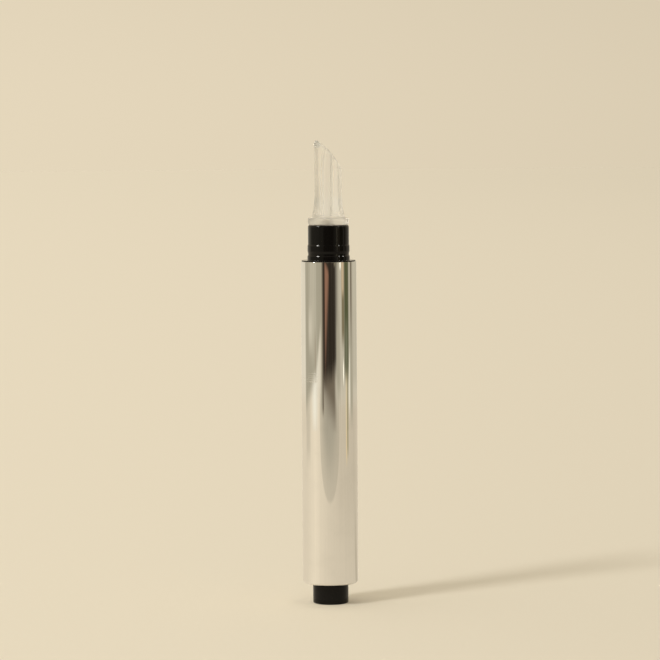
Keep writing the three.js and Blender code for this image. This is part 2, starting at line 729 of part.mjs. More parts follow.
function applicatorTip() {
  const stem = SOCKET_RADIUS - FIT;
  const flange = COLLAR_DIAMETER / 2 - FIT;
  const flangeTop = STEM_LENGTH + FLANGE_THICKNESS;
  const noseHeight = STEM_LENGTH + TIP_HEIGHT - FIT;
  const flareSteps = 4;
  const flare = Array.from({ length: flareSteps + 1 }, (_, step) => {
    const share = step / flareSteps;
    const radius = THREE.MathUtils.lerp(FLARE_RADIUS, TIP_RADIUS, 1 - (1 - share) ** 2);
    return roundRing(radius, flangeTop + share * FLARE_HEIGHT);
  });
  const edgeInsets = [0, 0.08, 0.25, 0.5, 1].map((share) => share * EDGE_WIDTH);
  const body = lofted([
    roundRing(stem - STEM_LEAD_IN, 0),
    roundRing(stem, STEM_LEAD_IN),
    roundRing(stem, STEM_LENGTH),
    roundRing(flange, STEM_LENGTH),
    roundRing(flange, flangeTop - FLANGE_CHAMFER),
    roundRing(flange - FLANGE_CHAMFER, flangeTop),
    ...flare,
    ...edgeInsets.map((inset) => faceRing(inset, noseHeight)),
    faceRing(TIP_RADIUS * 0.55, noseHeight),
    faceRing(TIP_RADIUS * 0.8, noseHeight),
  ]);
  const seatTop = FEED_TUBE_TOP - STEM_FOOT + RUN;
  const seatShape = new THREE.Shape().absarc(0, 0, NECK_BORE, 0, 2 * Math.PI);
  const cutters = [
    extruded(seatShape, -OVERRUN, seatTop, 6),
    feedChannel(noseHeight),
    outletDish(noseHeight),
  ];
  return geometryOf(cutters.reduce((tip, cutter) => tip.subtract(solid(cutter)), solid(body)));
}

// Finishes
function finish(color, roughness, metalness = 0) {
  return new THREE.MeshStandardMaterial({ color, roughness, metalness });
}
const polishedAluminium = finish(0xd4cfc4, 0.08, 1);
const blackGloss = finish(0x16130f, 0.2);
const clearSilicone = finish(0xe6dcc8, 0.12);
clearSilicone.transparent = true;
clearSilicone.opacity = 0.4;
const naturalPolypropylene = finish(0xe4e1d8, 0.4);
const whiteAcetal = finish(0xeeece6, 0.45);
const greyAcetal = finish(0x8d9094, 0.45);
const softPolyethylene = finish(0xdedbd2, 0.55);
const springSteel = finish(0xb0b0b0, 0.3, 1);
const clearGloss = finish(0xd98c86, 0.15);

function piece(name, geometry, material, height) {
  const mesh = new THREE.Mesh(geometry, material);
  mesh.name = name;
  mesh.position.z = height;
  return mesh;
}

const shell = new THREE.Group();
shell.add(
  piece("barrel_sleeve", barrelSleeve(), polishedAluminium, SLEEVE_FOOT),
  piece("mechanism_housing", mechanismHousing(), naturalPolypropylene, HOUSING_FOOT),
);

const clickDrive = new THREE.Group();
clickDrive.add(
  piece("click_button", clickButton(), blackGloss, 0),
  piece("return_spring", returnSpring(), springSteel, BUTTON_TOP + FIT),
  piece("drive_sleeve", driveSleeve(), whiteAcetal, DRIVE_FOOT),
  piece("ratchet_nut", ratchetNut(), greyAcetal, NUT_FOOT),
  piece("check_pawl_ring", checkPawlRing(), whiteAcetal, RING_SEAT + FIT),
  piece("rod_guide", rodGuide(), greyAcetal, GUIDE_FOOT),
);

const reservoir = new THREE.Group();
reservoir.add(
  piece("feed_rod", feedRod(), whiteAcetal, ROD_FOOT),
  piece("piston", piston(), softPolyethylene, PISTON_FOOT),
  piece("gloss_fill", glossFill(), clearGloss, PISTON_FOOT),
  piece("cartridge", cartridge(), naturalPolypropylene, CARTRIDGE_FOOT),
);

const applicator = new THREE.Group();
applicator.add(
  piece("applicator_holder", applicatorHolder(), blackGloss, HOLDER_FOOT),
  piece("feed_tube", feedTube(), naturalPolypropylene, FEED_TUBE_FOOT),
  piece("applicator_tip", applicatorTip(), clearSilicone, STEM_FOOT),
);

const pen = new THREE.Group();
pen.add(shell, clickDrive, reservoir, applicator);

export default pen;
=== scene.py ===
import math

import bmesh
import bpy
from bpy.props import FloatProperty, FloatVectorProperty, PointerProperty
from mathutils import Matrix, Vector


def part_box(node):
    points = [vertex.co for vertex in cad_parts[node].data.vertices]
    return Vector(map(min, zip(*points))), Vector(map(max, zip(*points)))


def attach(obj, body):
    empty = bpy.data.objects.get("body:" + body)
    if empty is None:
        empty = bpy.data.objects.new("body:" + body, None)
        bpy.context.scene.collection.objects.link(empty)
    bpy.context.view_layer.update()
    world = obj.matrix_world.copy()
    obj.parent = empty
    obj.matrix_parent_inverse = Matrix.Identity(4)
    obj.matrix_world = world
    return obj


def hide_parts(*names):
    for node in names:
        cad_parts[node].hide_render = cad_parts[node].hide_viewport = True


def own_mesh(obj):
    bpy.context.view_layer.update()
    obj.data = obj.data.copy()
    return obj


bl_info = {
    "name": "Click Pen Lip Gloss",
    "version": (1, 0, 0),
    "blender": (4, 5, 0),
    "location": "View3D > Sidebar > Lip Gloss",
    "description": "Dresses the packed click pen with smooth pieces and finishes, and sets its studio",
    "category": "Object",
}

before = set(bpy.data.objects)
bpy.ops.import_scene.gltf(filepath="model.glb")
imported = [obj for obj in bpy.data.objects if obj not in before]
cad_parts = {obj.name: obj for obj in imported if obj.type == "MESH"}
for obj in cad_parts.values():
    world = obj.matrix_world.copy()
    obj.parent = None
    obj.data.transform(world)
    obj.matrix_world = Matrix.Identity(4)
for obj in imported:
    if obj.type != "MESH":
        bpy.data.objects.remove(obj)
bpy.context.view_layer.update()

MM = 0.001
TURNED_SIDES = 192
FILLET_STEPS = 8
HOLDING = 0.02 * MM
TINY = 1e-9
SHARP_ANGLE = math.radians(32)

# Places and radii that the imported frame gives
SLEEVE_LOW, SLEEVE_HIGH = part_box("barrel_sleeve")
HOLDER_LOW, HOLDER_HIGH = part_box("applicator_holder")
TIP_LOW, TIP_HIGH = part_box("applicator_tip")
BUTTON_LOW, BUTTON_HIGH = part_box("click_button")
SPRING_LOW, SPRING_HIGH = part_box("return_spring")
ROD_LOW, ROD_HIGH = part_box("feed_rod")
NUT_LOW, NUT_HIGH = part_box("ratchet_nut")
TUBE_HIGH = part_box("feed_tube")[1]
GLOSS_LOW, GLOSS_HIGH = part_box("gloss_fill")
HOUSING_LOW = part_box("mechanism_housing")[0]


def length(name, description, default):
    return FloatProperty(
        name=name, description=description, default=default, min=0.0, unit="LENGTH", precision=5
    )


def colour(name, description, default):
    return FloatVectorProperty(
        name=name, description=description, default=default, size=3, min=0.0, max=1.0, subtype="COLOR"
    )


def angle(name, description, degrees):
    return FloatProperty(name=name, description=description, default=math.radians(degrees), subtype="ANGLE")


def share(name, description, default):
    return FloatProperty(
        name=name, description=description, default=default, min=0.0, max=1.0, subtype="FACTOR"
    )


class PenSizes(bpy.types.PropertyGroup):
    """Sizes of the pen's pieces, in metres."""

    barrel_radius: length("Barrel radius", "Outer radius of the polished sleeve", SLEEVE_HIGH.x)
    barrel_wall: length("Barrel wall", "Thickness of the drawn sleeve", 0.4 * MM)
    barrel_rounding: length("Barrel rounding", "Rounding of the sleeve's turned-in foot", 0.85 * MM)
    rim_rounding: length("Rim rounding", "Rounding of the sleeve's upper rim", 0.03 * MM)
    collar_radius: length("Collar radius", "Radius of the black collar above its bead", 4.99 * MM)
    bead_proud: length("Bead height", "How far the snap bead stands out of the collar", 0.13 * MM)
    step_proud: length("Step height", "How far the lower step stands out of the collar", 0.17 * MM)
    button_radius: length("Button radius", "Radius of the push button", 4.34 * MM)
    button_rounding: length("Button rounding", "Rounding of the button's foot", 0.35 * MM)
    tip_radius: length("Tip radius", "Radius of the silicone tip", 3.375 * MM)
    flare_radius: length("Flare radius", "Radius of the tip's foot above its flange", 4.1 * MM)
    flare_height: length("Flare height", "Height over which the tip's foot tapers in", 5.4 * MM)
    face_drop: length("Face drop", "Height from the nose down to the low side of the face", 6.75 * MM)
    face_crown: length("Face crown", "How far the slanted face bulges", 0.95 * MM)
    edge_width: length("Edge width", "Width of the soft edge round the face", 0.8 * MM)
    channel_radius: length("Channel radius", "Radius of the feed channel in the tip", 1.1 * MM)
    wire_diameter: length("Wire diameter", "Diameter of the return spring's wire", 0.5 * MM)
    thread_pitch: length("Thread pitch", "Rise of the feed rod's thread in one turn", 1.0 * MM)
    thread_depth: length("Thread depth", "Depth of the feed rod's thread", 0.3 * MM)


class PenFinishes(bpy.types.PropertyGroup):
    """Colours and polish of the pen's finishes."""

    aluminium: colour("Aluminium", "Polished sleeve", (0.89, 0.875, 0.845))
    black: colour("Black plastic", "Collar and push button", (0.0036, 0.003, 0.0024))
    silicone: colour("Clear silicone", "Applicator tip and feed tube", (0.96, 0.95, 0.935))
    natural: colour("Natural plastic", "Housing and cartridge", (0.78, 0.76, 0.71))
    white: colour("White plastic", "Drive sleeve, check ring and rod", (0.86, 0.85, 0.82))
    grey: colour("Grey plastic", "Ratchet nut and rod guide", (0.27, 0.28, 0.30))
    soft: colour("Soft plastic", "Piston", (0.73, 0.71, 0.66))
    steel: colour("Spring steel", "Return spring", (0.45, 0.45, 0.45))
    gloss: colour("Gloss", "Gloss in the cartridge", (0.69, 0.27, 0.24))
    sleeve_roughness: share("Sleeve roughness", "Polish of the sleeve, 0 is a mirror", 0.015)
    black_roughness: share("Black roughness", "Polish of the black plastic", 0.05)


class PenStage(bpy.types.PropertyGroup):
    """Studio and camera."""

    paper: colour("Paper", "Floor and backdrop", (0.768, 0.665, 0.491))
    key_share: share("Key share", "Part of the floor's light that comes from the key lamp", 0.24)
    key_height: angle("Key height", "Height of the key lamp above the horizon", 40)
    key_side: angle("Key side", "Direction of the key lamp, to the left of the camera's side", 50)
    key_size: angle("Key size", "How wide the key lamp looks from the pen", 12)
    # Glowing cards that light nothing and show only in reflections: painted highlights on the black plastic
    highlight_card_height: angle("Highlight card height", "Height of the small bright card above the horizon", 40)
    highlight_card_side: angle("Highlight card side", "Direction of the card, to the left of the camera's side", 72)
    highlight_card_radius: length("Highlight card radius", "Radius of the bright card", 0.05)
    highlight_card_strength: FloatProperty(
        name="Highlight card strength", description="Brightness of the bright card", default=60.0, min=0.0
    )
    camera_distance: length("Camera distance", "Level distance from the camera to the pen", 0.75)
    camera_height: length("Camera height", "Height of the camera above the floor", 0.119)
    camera_offset: FloatProperty(
        name="Camera offset",
        description="How far right of the pen the camera stands",
        default=0.23 * MM,
        unit="LENGTH",
    )
    camera_pitch: angle("Camera pitch", "How far the camera looks down", 3.985)
    camera_roll: angle("Camera roll", "Lean of the camera to the right", 0.38)
    camera_view: angle("Camera view", "Field of view across the frame", 12.18)


class Value:
    """A shader socket that adds Math nodes when it is used in an expression."""

    def __init__(self, nodes, socket):
        self.nodes = nodes
        self.socket = socket

    def math(self, operation, first, second):
        return self.nodes.node("ShaderNodeMath", {"operation": operation}, {0: first, 1: second})

    def __add__(self, other):
        return self.math("ADD", self, other)

    def __radd__(self, other):
        return self.math("ADD", other, self)

    def __sub__(self, other):
        return self.math("SUBTRACT", self, other)

    def __rsub__(self, other):
        return self.math("SUBTRACT", other, self)

    def __mul__(self, other):
        return self.math("MULTIPLY", self, other)

    def __rmul__(self, other):
        return self.math("MULTIPLY", other, self)

    def __truediv__(self, other):
        return self.math("DIVIDE", self, other)


class Nodes:
    """Builds one node tree."""

    def __init__(self, tree):
        self.tree = tree
        tree.nodes.clear()

    def node(self, kind, settings=None, sockets=None, output=0):
        """Add a node: its settings first, then the values or links of its sockets."""
        made = self.tree.nodes.new(kind)
        for name, value in (settings or {}).items():
            if name == "stops":
                self.set_stops(made.color_ramp, value)
            else:
                setattr(made, name, value)
        for key, value in (sockets or {}).items():
            if isinstance(value, Value):
                self.tree.links.new(value.socket, made.inputs[key])
            else:
                made.inputs[key].default_value = value
        return Value(self, made.outputs[output]) if made.outputs else None

    @staticmethod
    def set_stops(ramp, stops):
        while len(ramp.elements) < len(stops):
            ramp.elements.new(1.0)
        for element, (position, tone) in zip(ramp.elements, stops):
            element.position = position
            element.color = (*tone, 1.0)

    def place(self):
        """Coordinates of the piece itself, in metres."""
        return self.node("ShaderNodeTexCoord", output="Object")

    def stretched(self, scale):
        """The piece's coordinates scaled along each axis."""
        return self.node("ShaderNodeMapping", None, {"Vector": self.place(), "Scale": scale})

    def noise(self, vector, scale, detail=3.0, roughness=0.55):
        sockets = {"Vector": vector, "Scale": scale, "Detail": detail, "Roughness": roughness}
        return self.node("ShaderNodeTexNoise", None, sockets)

    def mix(self, factor, first, second, blend="MIX"):
        settings = {"data_type": "RGBA", "blend_type": blend}
        return self.node("ShaderNodeMix", settings, {0: factor, 6: first, 7: second}, output=2)

    def smooth(self, value, low, high):
        """0 below low, 1 above high and a smooth step between them."""
        settings = {"interpolation_type": "SMOOTHSTEP"}
        sockets = {"Value": value, "From Min": low, "From Max": high}
        return self.node("ShaderNodeMapRange", settings, sockets)

    def band(self, value, low, high, soft):
        """1 between low and high and 0 outside, with soft ends."""
        return self.smooth(value, low - soft, low + soft) - self.smooth(value, high - soft, high + soft)

    def along(self, axis):
        """One coordinate of the piece, in metres."""
        return self.node("ShaderNodeSeparateXYZ", None, {0: self.place()}, output=axis)

    def arc(self, across, ahead):
        """The angle of a direction in degrees: 0 straight ahead, positive to the right."""
        turn = self.node("ShaderNodeMath", {"operation": "ARCTAN2"}, {0: across, 1: ahead})
        return turn * math.degrees(1)

    def bump(self, height, strength, distance):
        sockets = {"Height": height, "Strength": strength, "Distance": distance}
        return self.node("ShaderNodeBump", None, sockets)

    def surface(self, sockets):
        """A Principled surface, linked to the material's output."""
        shader = self.node("ShaderNodeBsdfPrincipled", None, sockets)
        self.node("ShaderNodeOutputMaterial", None, {"Surface": shader})


def new_finish(name):
    material = bpy.data.materials.new(name)
    material.use_nodes = True
    return material, Nodes(material.node_tree)


def opaque(tone):
    return (*tone, 1.0)


def toned(tone, factor):
    return (*(min(1.0, part * factor) for part in tone), 1.0)


# Finishes


def polished_aluminium(finishes):
    """Mirror polish with faint drawn lines along the tube, hazy handling marks and a small scuff."""
    material, nodes = new_finish("polished_aluminium")
    haze = nodes.smooth(nodes.noise(nodes.place(), 180.0, 4.0), 0.45, 0.75)
    lines = nodes.noise(nodes.stretched((1.0, 1.0, 0.01)), 2200.0, 4.0)
    drawn = 0.25 * nodes.smooth(lines, 0.4, 0.7)
    metal = nodes.mix(haze, opaque(finishes.aluminium), toned(finishes.aluminium, 0.97))
    scratches = nodes.smooth(nodes.noise(nodes.stretched((0.01, 0.01, 1.0)), 6500.0, 1.0), 0.56, 0.62)
    worn = nodes.band(nodes.along("Z"), 54.4 * MM, 56.6 * MM, 0.3 * MM)
    scuff = scratches * worn * (1 - nodes.smooth(nodes.along("X"), -3.4 * MM, -2.4 * MM))
    nodes.surface({
        "Base Color": nodes.mix(drawn, metal, toned(finishes.aluminium, 0.93)),
        "Metallic": 1.0,
        "Roughness": finishes.sleeve_roughness + 0.015 * haze + 0.01 * lines + 0.2 * scuff,
        "Normal": nodes.bump(lines, 0.1, 0.02 * MM),
    })
    return material


def black_gloss(finishes):
    """Polished black moulding with a faint orange peel and finer specks."""
    material, nodes = new_finish("black_plastic")
    peel = nodes.noise(nodes.place(), 700.0, 2.0)
    specks = nodes.noise(nodes.place(), 6000.0, 2.0)
    nodes.surface({
        "Base Color": nodes.mix(specks, opaque(finishes.black), toned(finishes.black, 1.6)),
        "Roughness": finishes.black_roughness + 0.03 * peel + 0.02 * specks,
        "Specular IOR Level": 0.15,
        "Normal": nodes.bump(peel, 0.05, 0.02 * MM),
    })
    return material


def clear_silicone(finishes, outlet, fall, channel_x):
    """Clear silicone with an uneven skin, duller in the flange and at the nose, with painted shade at the
    nose and the outlet.

    The outlet's middle and the fall of the face there place the outlet's painted shade.
    """
    nose_x = -2.7 * MM
    nose_drop = 0.8 * MM
    outlet_shade_half = Vector((1.0 * MM, 1.5 * MM))
    outlet_shade_soft = 0.2 * MM
    material, nodes = new_finish("clear_silicone")
    cloud = nodes.noise(nodes.place(), 260.0, 3.0)
    skin = nodes.noise(nodes.place(), 1500.0, 2.0)
    across, ahead, height = (nodes.along(axis) for axis in ("X", "Y", "Z"))
    out = (across - nose_x) / MM
    up = (height - (TIP_HIGH.z - nose_drop)) / MM
    # Painted shade: a darker, less clear ball at the nose, where the rounded nose bends light away
    nose = 1 - nodes.smooth(out * out + up * up, 0.5, 1.2)
    foot = 1 - nodes.smooth(height, HOLDER_HIGH.z + 1.5 * MM, HOLDER_HIGH.z + 2.8 * MM)
    flange = 1 - nodes.smooth(height, HOLDER_HIGH.z + 1.2 * MM, HOLDER_HIGH.z + 1.5 * MM)
    aside = (across - channel_x) / MM
    deep = ahead / MM
    channel = 1 - nodes.smooth(aside * aside + deep * deep, 1.4, 2.2)
    # Painted shade: a darker, less clear streak at the outlet, where its edge bends light away
    sunk = height + fall * across - (outlet.z + fall * outlet.x)
    outlet_shade = nodes.smooth(sunk, -0.75 * MM, -0.5 * MM)
    outlet_shade = outlet_shade * nodes.band(ahead, -outlet_shade_half.y, outlet_shade_half.y, outlet_shade_soft)
    outlet_shade = outlet_shade * nodes.band(across, outlet.x - outlet_shade_half.x, outlet.x + outlet_shade_half.x, outlet_shade_soft)
    body = nodes.mix(cloud, opaque(finishes.silicone), toned(finishes.silicone, 0.985))
    body = nodes.mix(0.42 * flange, body, (0.5, 0.465, 0.4, 1.0))
    nodes.surface({
        "Base Color": nodes.mix(0.7 * nose + 0.6 * outlet_shade, body, (0.45, 0.48, 0.47, 1.0)),
        "Roughness": 0.09 + 0.06 * cloud + 0.03 * skin + 0.4 * nose + 0.3 * foot + 0.25 * channel,
        "Alpha": 0.5 + 0.3 * nose + 0.3 * outlet_shade + 0.3 * flange - 0.15 * foot,
        "Normal": nodes.bump(skin, 0.04, 0.02 * MM),
        "IOR": 1.41,
        "Transmission Weight": 1.0,
    })
    return material


def moulded_plastic(name, tone, roughness, clearness=0.0):
    """Satin moulding: cloudy colour, fine grain and uneven gloss."""
    material, nodes = new_finish(name)
    cloud = nodes.noise(nodes.place(), 300.0, 3.0)
    grain = nodes.noise(nodes.place(), 4500.0, 3.0)
    nodes.surface({
        "Base Color": nodes.mix(cloud, toned(tone, 0.93), toned(tone, 1.05)),
        "Roughness": roughness - 0.05 + 0.06 * cloud + 0.08 * grain,
        "Normal": nodes.bump(grain, 0.12, 0.03 * MM),
        "Transmission Weight": clearness,
    })
    return material


def drawn_steel(finishes):
    """Drawn wire with fine streaks."""
    material, nodes = new_finish("spring_steel")
    streaks = nodes.noise(nodes.stretched((0.3, 0.3, 1.0)), 9000.0, 3.0)
    nodes.surface({
        "Base Color": nodes.mix(streaks, toned(finishes.steel, 0.85), toned(finishes.steel, 1.15)),
        "Metallic": 1.0,
        "Roughness": 0.24 + 0.16 * streaks,
        "Normal": nodes.bump(streaks, 0.1, 0.01 * MM),
    })
    return material


def tinted_gloss(finishes):
    """Thick tinted gloss with fine pearly flecks."""
    material, nodes = new_finish("gloss")
    flecks = nodes.smooth(nodes.noise(nodes.place(), 3500.0, 1.0), 0.6, 0.75)
    swirl = nodes.noise(nodes.place(), 220.0, 4.0)
    body = nodes.mix(swirl, toned(finishes.gloss, 0.9), toned(finishes.gloss, 1.1))
    nodes.surface({
        "Base Color": nodes.mix(0.35 * flecks, body, (0.95, 0.8, 0.76, 1.0)),
        "Roughness": 0.06 + 0.08 * swirl,
        "IOR": 1.46,
        "Transmission Weight": 0.55,
    })
    return material


# Mesh tools


def rounded(corners):
    """Points of a closed outline of (radius, height, fillet) corners, with an arc at each fillet.

    A holding point on each side of an arc keeps the shading of the flat beside it flat.
    """
    spots = [Vector(corner[:2]) for corner in corners]
    points = []
    for index, corner in enumerate(corners):
        here = spots[index]
        if len(corner) < 3:
            points.append(here)
            continue
        back = (spots[index - 1] - here).normalized()
        ahead = (spots[(index + 1) % len(spots)] - here).normalized()
        half = back.angle(ahead) / 2
        centre = here + (back + ahead).normalized() * (corner[2] / math.sin(half))
        start = here + back * (corner[2] / math.tan(half)) - centre
        end = here + ahead * (corner[2] / math.tan(half)) - centre
        sweep = math.atan2(start.cross(end), start.dot(end))
        points.append(centre + start + HOLDING * back)
        for step in range(FILLET_STEPS + 1):
            turn = Matrix.Rotation(sweep * step / FILLET_STEPS, 2)
            points.append(centre + turn @ start)
        points.append(centre + end + HOLDING * ahead)
    return points


def around_circle(sides):
    """Angles of evenly spaced points round a circle."""
    return [math.tau * side / sides for side in range(sides)]


def polar(radius, turn, height):
    return Vector((radius * math.cos(turn), radius * math.sin(turn), height))


def ring_points(radius, height, sides):
    return [polar(radius, turn, height) for turn in around_circle(sides)]


def hoop(centre, across, other, radius, sides):
    """Points of a circle round a centre, in the plane of two directions."""
    return [
        centre + radius * (math.cos(turn) * across + math.sin(turn) * other) for turn in around_circle(sides)
    ]


def bridge(mesh, low, high):
    """Quads between two rings; a ring of one vertex makes a fan."""
    sides = max(len(low), len(high))
    for side in range(sides):
        after = (side + 1) % sides
        corners = []
        for ring, index in ((low, side), (low, after), (high, after), (high, side)):
            corner = ring[index % len(ring)]
            if corner not in corners:
                corners.append(corner)
        mesh.faces.new(corners)


def piece_from(name, mesh, material):
    """Turn a bmesh into an object with smooth shading between its sharp edges."""
    bmesh.ops.recalc_face_normals(mesh, faces=mesh.faces)
    data = bpy.data.meshes.new(name)
    mesh.to_mesh(data)
    mesh.free()
    data.shade_smooth()
    data.set_sharp_from_angle(angle=SHARP_ANGLE)
    if material:
        data.materials.append(material)
    piece = bpy.data.objects.new(name, data)
    bpy.context.scene.collection.objects.link(piece)
    return piece


def skin(name, rings, material=None, closed=False):
    """An object over rings of points: a tube closed on itself, or a solid with flat ends."""
    mesh = bmesh.new()
    made = [[mesh.verts.new(point) for point in ring] for ring in rings]
    for low, high in zip(made, made[1:]):
        bridge(mesh, low, high)
    if closed:
        bridge(mesh, made[-1], made[0])
    else:
        for end in (made[0], made[-1]):
            if len(end) > 2:
                mesh.faces.new(end)
    return piece_from(name, mesh, material)


def turned(name, corners, material=None, sides=TURNED_SIDES):
    """A solid of revolution; an outline that starts and ends on the axis is closed there by poles."""
    rings = []
    for radius, height in rounded(corners):
        on_axis = radius < TINY
        rings.append([Vector((0, 0, height))] if on_axis else ring_points(radius, height, sides))
    solid_core = len(rings[0]) == 1 and len(rings[-1]) == 1
    return skin(name, rings, material, closed=not solid_core)


def carve(piece, cutters, operation="DIFFERENCE"):
    """Cut tools out of a piece, or weld them to it, and keep the result as its mesh."""
    for cutter in cutters:
        boolean = piece.modifiers.new("carve", "BOOLEAN")
        boolean.operation = operation
        boolean.solver = "EXACT"
        boolean.object = cutter
    result = bpy.data.meshes.new_from_object(piece.evaluated_get(bpy.context.evaluated_depsgraph_get()))
    name = piece.data.name
    old = piece.data
    piece.modifiers.clear()
    piece.data = result
    bpy.data.meshes.remove(old)
    result.name = name
    result.shade_smooth()
    result.set_sharp_from_angle(angle=SHARP_ANGLE)
    for cutter in cutters:
        data = cutter.data
        bpy.data.objects.remove(cutter)
        bpy.data.meshes.remove(data)
    return piece


def swept(name, path, radius, sides):
    """A round tube along a path of points, with flat ends."""
    rings = []
    for index, point in enumerate(path):
        ahead = path[min(index + 1, len(path) - 1)] - path[max(index - 1, 0)]
        aside = Vector((0, 1, 0)) if abs(ahead.normalized().y) < 0.9 else Vector((1, 0, 0))
        across = ahead.cross(aside).normalized()
        other = across.cross(ahead).normalized()
        rings.append(hoop(point, across, other, radius, sides))
    return skin(name, rings)


def smooth_path(points, steps):
    """Points of a curve that passes through the given ones."""
    made = []
    padded = [2 * points[0] - points[1], *points, 2 * points[-1] - points[-2]]
    for before, start, end, after in zip(padded, padded[1:], padded[2:], padded[3:]):
        for step in range(steps):
            factor = step / steps
            made.append(0.5 * (
                2 * start + (end - before) * factor
                + (2 * before - 5 * start + 4 * end - after) * factor ** 2
                + (3 * start - before - 3 * end + after) * factor ** 3
            ))
    return [*made, points[-1]]


def between(first, second, factor):
    return first + (second - first) * factor


def seat(piece, body, slot, *nodes):
    """Put a piece on its body and hide the CAD nodes that it stands for; the finish slot is not used."""
    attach(piece, body)
    if nodes:
        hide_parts(*nodes)


class PenOperator:
    """Shared access to the pen's settings."""

    bl_options = {"REGISTER", "UNDO"}

    @property
    def sizes(self):
        return bpy.context.scene.pen_sizes

    @property
    def finishes(self):
        return bpy.context.scene.pen_finishes


class PEN_OT_barrel(PenOperator, bpy.types.Operator):
    """Make the polished sleeve with its rounded, turned-in foot"""

    bl_idname = "pen.barrel"
    bl_label = "Barrel Sleeve"

    button_gap = 0.25 * MM
    lip_thickness = 0.5 * MM

    def execute(self, context):
        sizes = self.sizes
        outer = sizes.barrel_radius
        inner = outer - sizes.barrel_wall
        hole = sizes.button_radius + self.button_gap
        foot = SLEEVE_LOW.z
        floor = foot + self.lip_thickness
        rim = SLEEVE_HIGH.z
        sleeve = turned("sleeve", [
            (hole, foot, 0.1 * MM),
            (outer, foot, sizes.barrel_rounding),
            (outer, rim, sizes.rim_rounding),
            (inner, rim, 0.08 * MM),
            (inner, floor, sizes.barrel_rounding - sizes.barrel_wall),
            (hole, floor, 0.1 * MM),
        ], polished_aluminium(self.finishes))
        seat(sleeve, "barrel", "polished_aluminium", "barrel_sleeve")
        return {"FINISHED"}


class PEN_OT_holder(PenOperator, bpy.types.Operator):
    """Make the black collar with its snap bead, lower step and shoulder"""

    bl_idname = "pen.holder"
    bl_label = "Applicator Holder"

    def execute(self, context):
        sizes = self.sizes
        foot = HOLDER_LOW.z
        top = HOLDER_HIGH.z
        rim = SLEEVE_HIGH.z
        plug = sizes.barrel_radius - sizes.barrel_wall - 0.05 * MM
        wall = 0.8 * MM
        neck = 3.1 * MM
        neck_top = foot + 9.1 * MM
        shoulder = rim + 0.3 * MM
        shoulder_radius = HOLDER_HIGH.x
        collar = sizes.collar_radius
        step = collar + sizes.step_proud
        step_top = shoulder + 0.95 * MM
        bead = collar + sizes.bead_proud
        bead_foot = shoulder + 1.6 * MM
        bead_top = bead_foot + 2.2 * MM
        flank = 0.6 * MM
        bead_slope = 0.305 * MM
        socket = 2.7 * MM
        socket_foot = TIP_LOW.z - 0.05 * MM
        feed_bore = 1.2 * MM
        holder = turned("collar", [
            (neck, foot),
            (neck + wall, foot),
            (neck + wall, neck_top - wall),
            (plug - wall, neck_top - wall),
            (plug - wall, foot),
            (plug, foot, 0.2 * MM),
            (plug, rim),
            (shoulder_radius, rim),
            (shoulder_radius, shoulder, 0.1 * MM),
            (step, shoulder, 0.08 * MM),
            (step, step_top, 0.2 * MM),
            (collar, step_top + 0.3 * MM),
            (collar, bead_foot, 0.3 * MM),
            (bead, bead_foot + flank, 0.5 * MM),
            (bead, bead_top - bead_slope, 0.3 * MM),
            (collar, bead_top, 0.2 * MM),
            (collar, top, 0.6 * MM),
            (socket, top, 0.15 * MM),
            (socket, socket_foot),
            (feed_bore, socket_foot),
            (feed_bore, neck_top),
            (neck, neck_top),
        ], black_gloss(self.finishes))
        seat(holder, "barrel", "black_plastic", "applicator_holder")
        return {"FINISHED"}


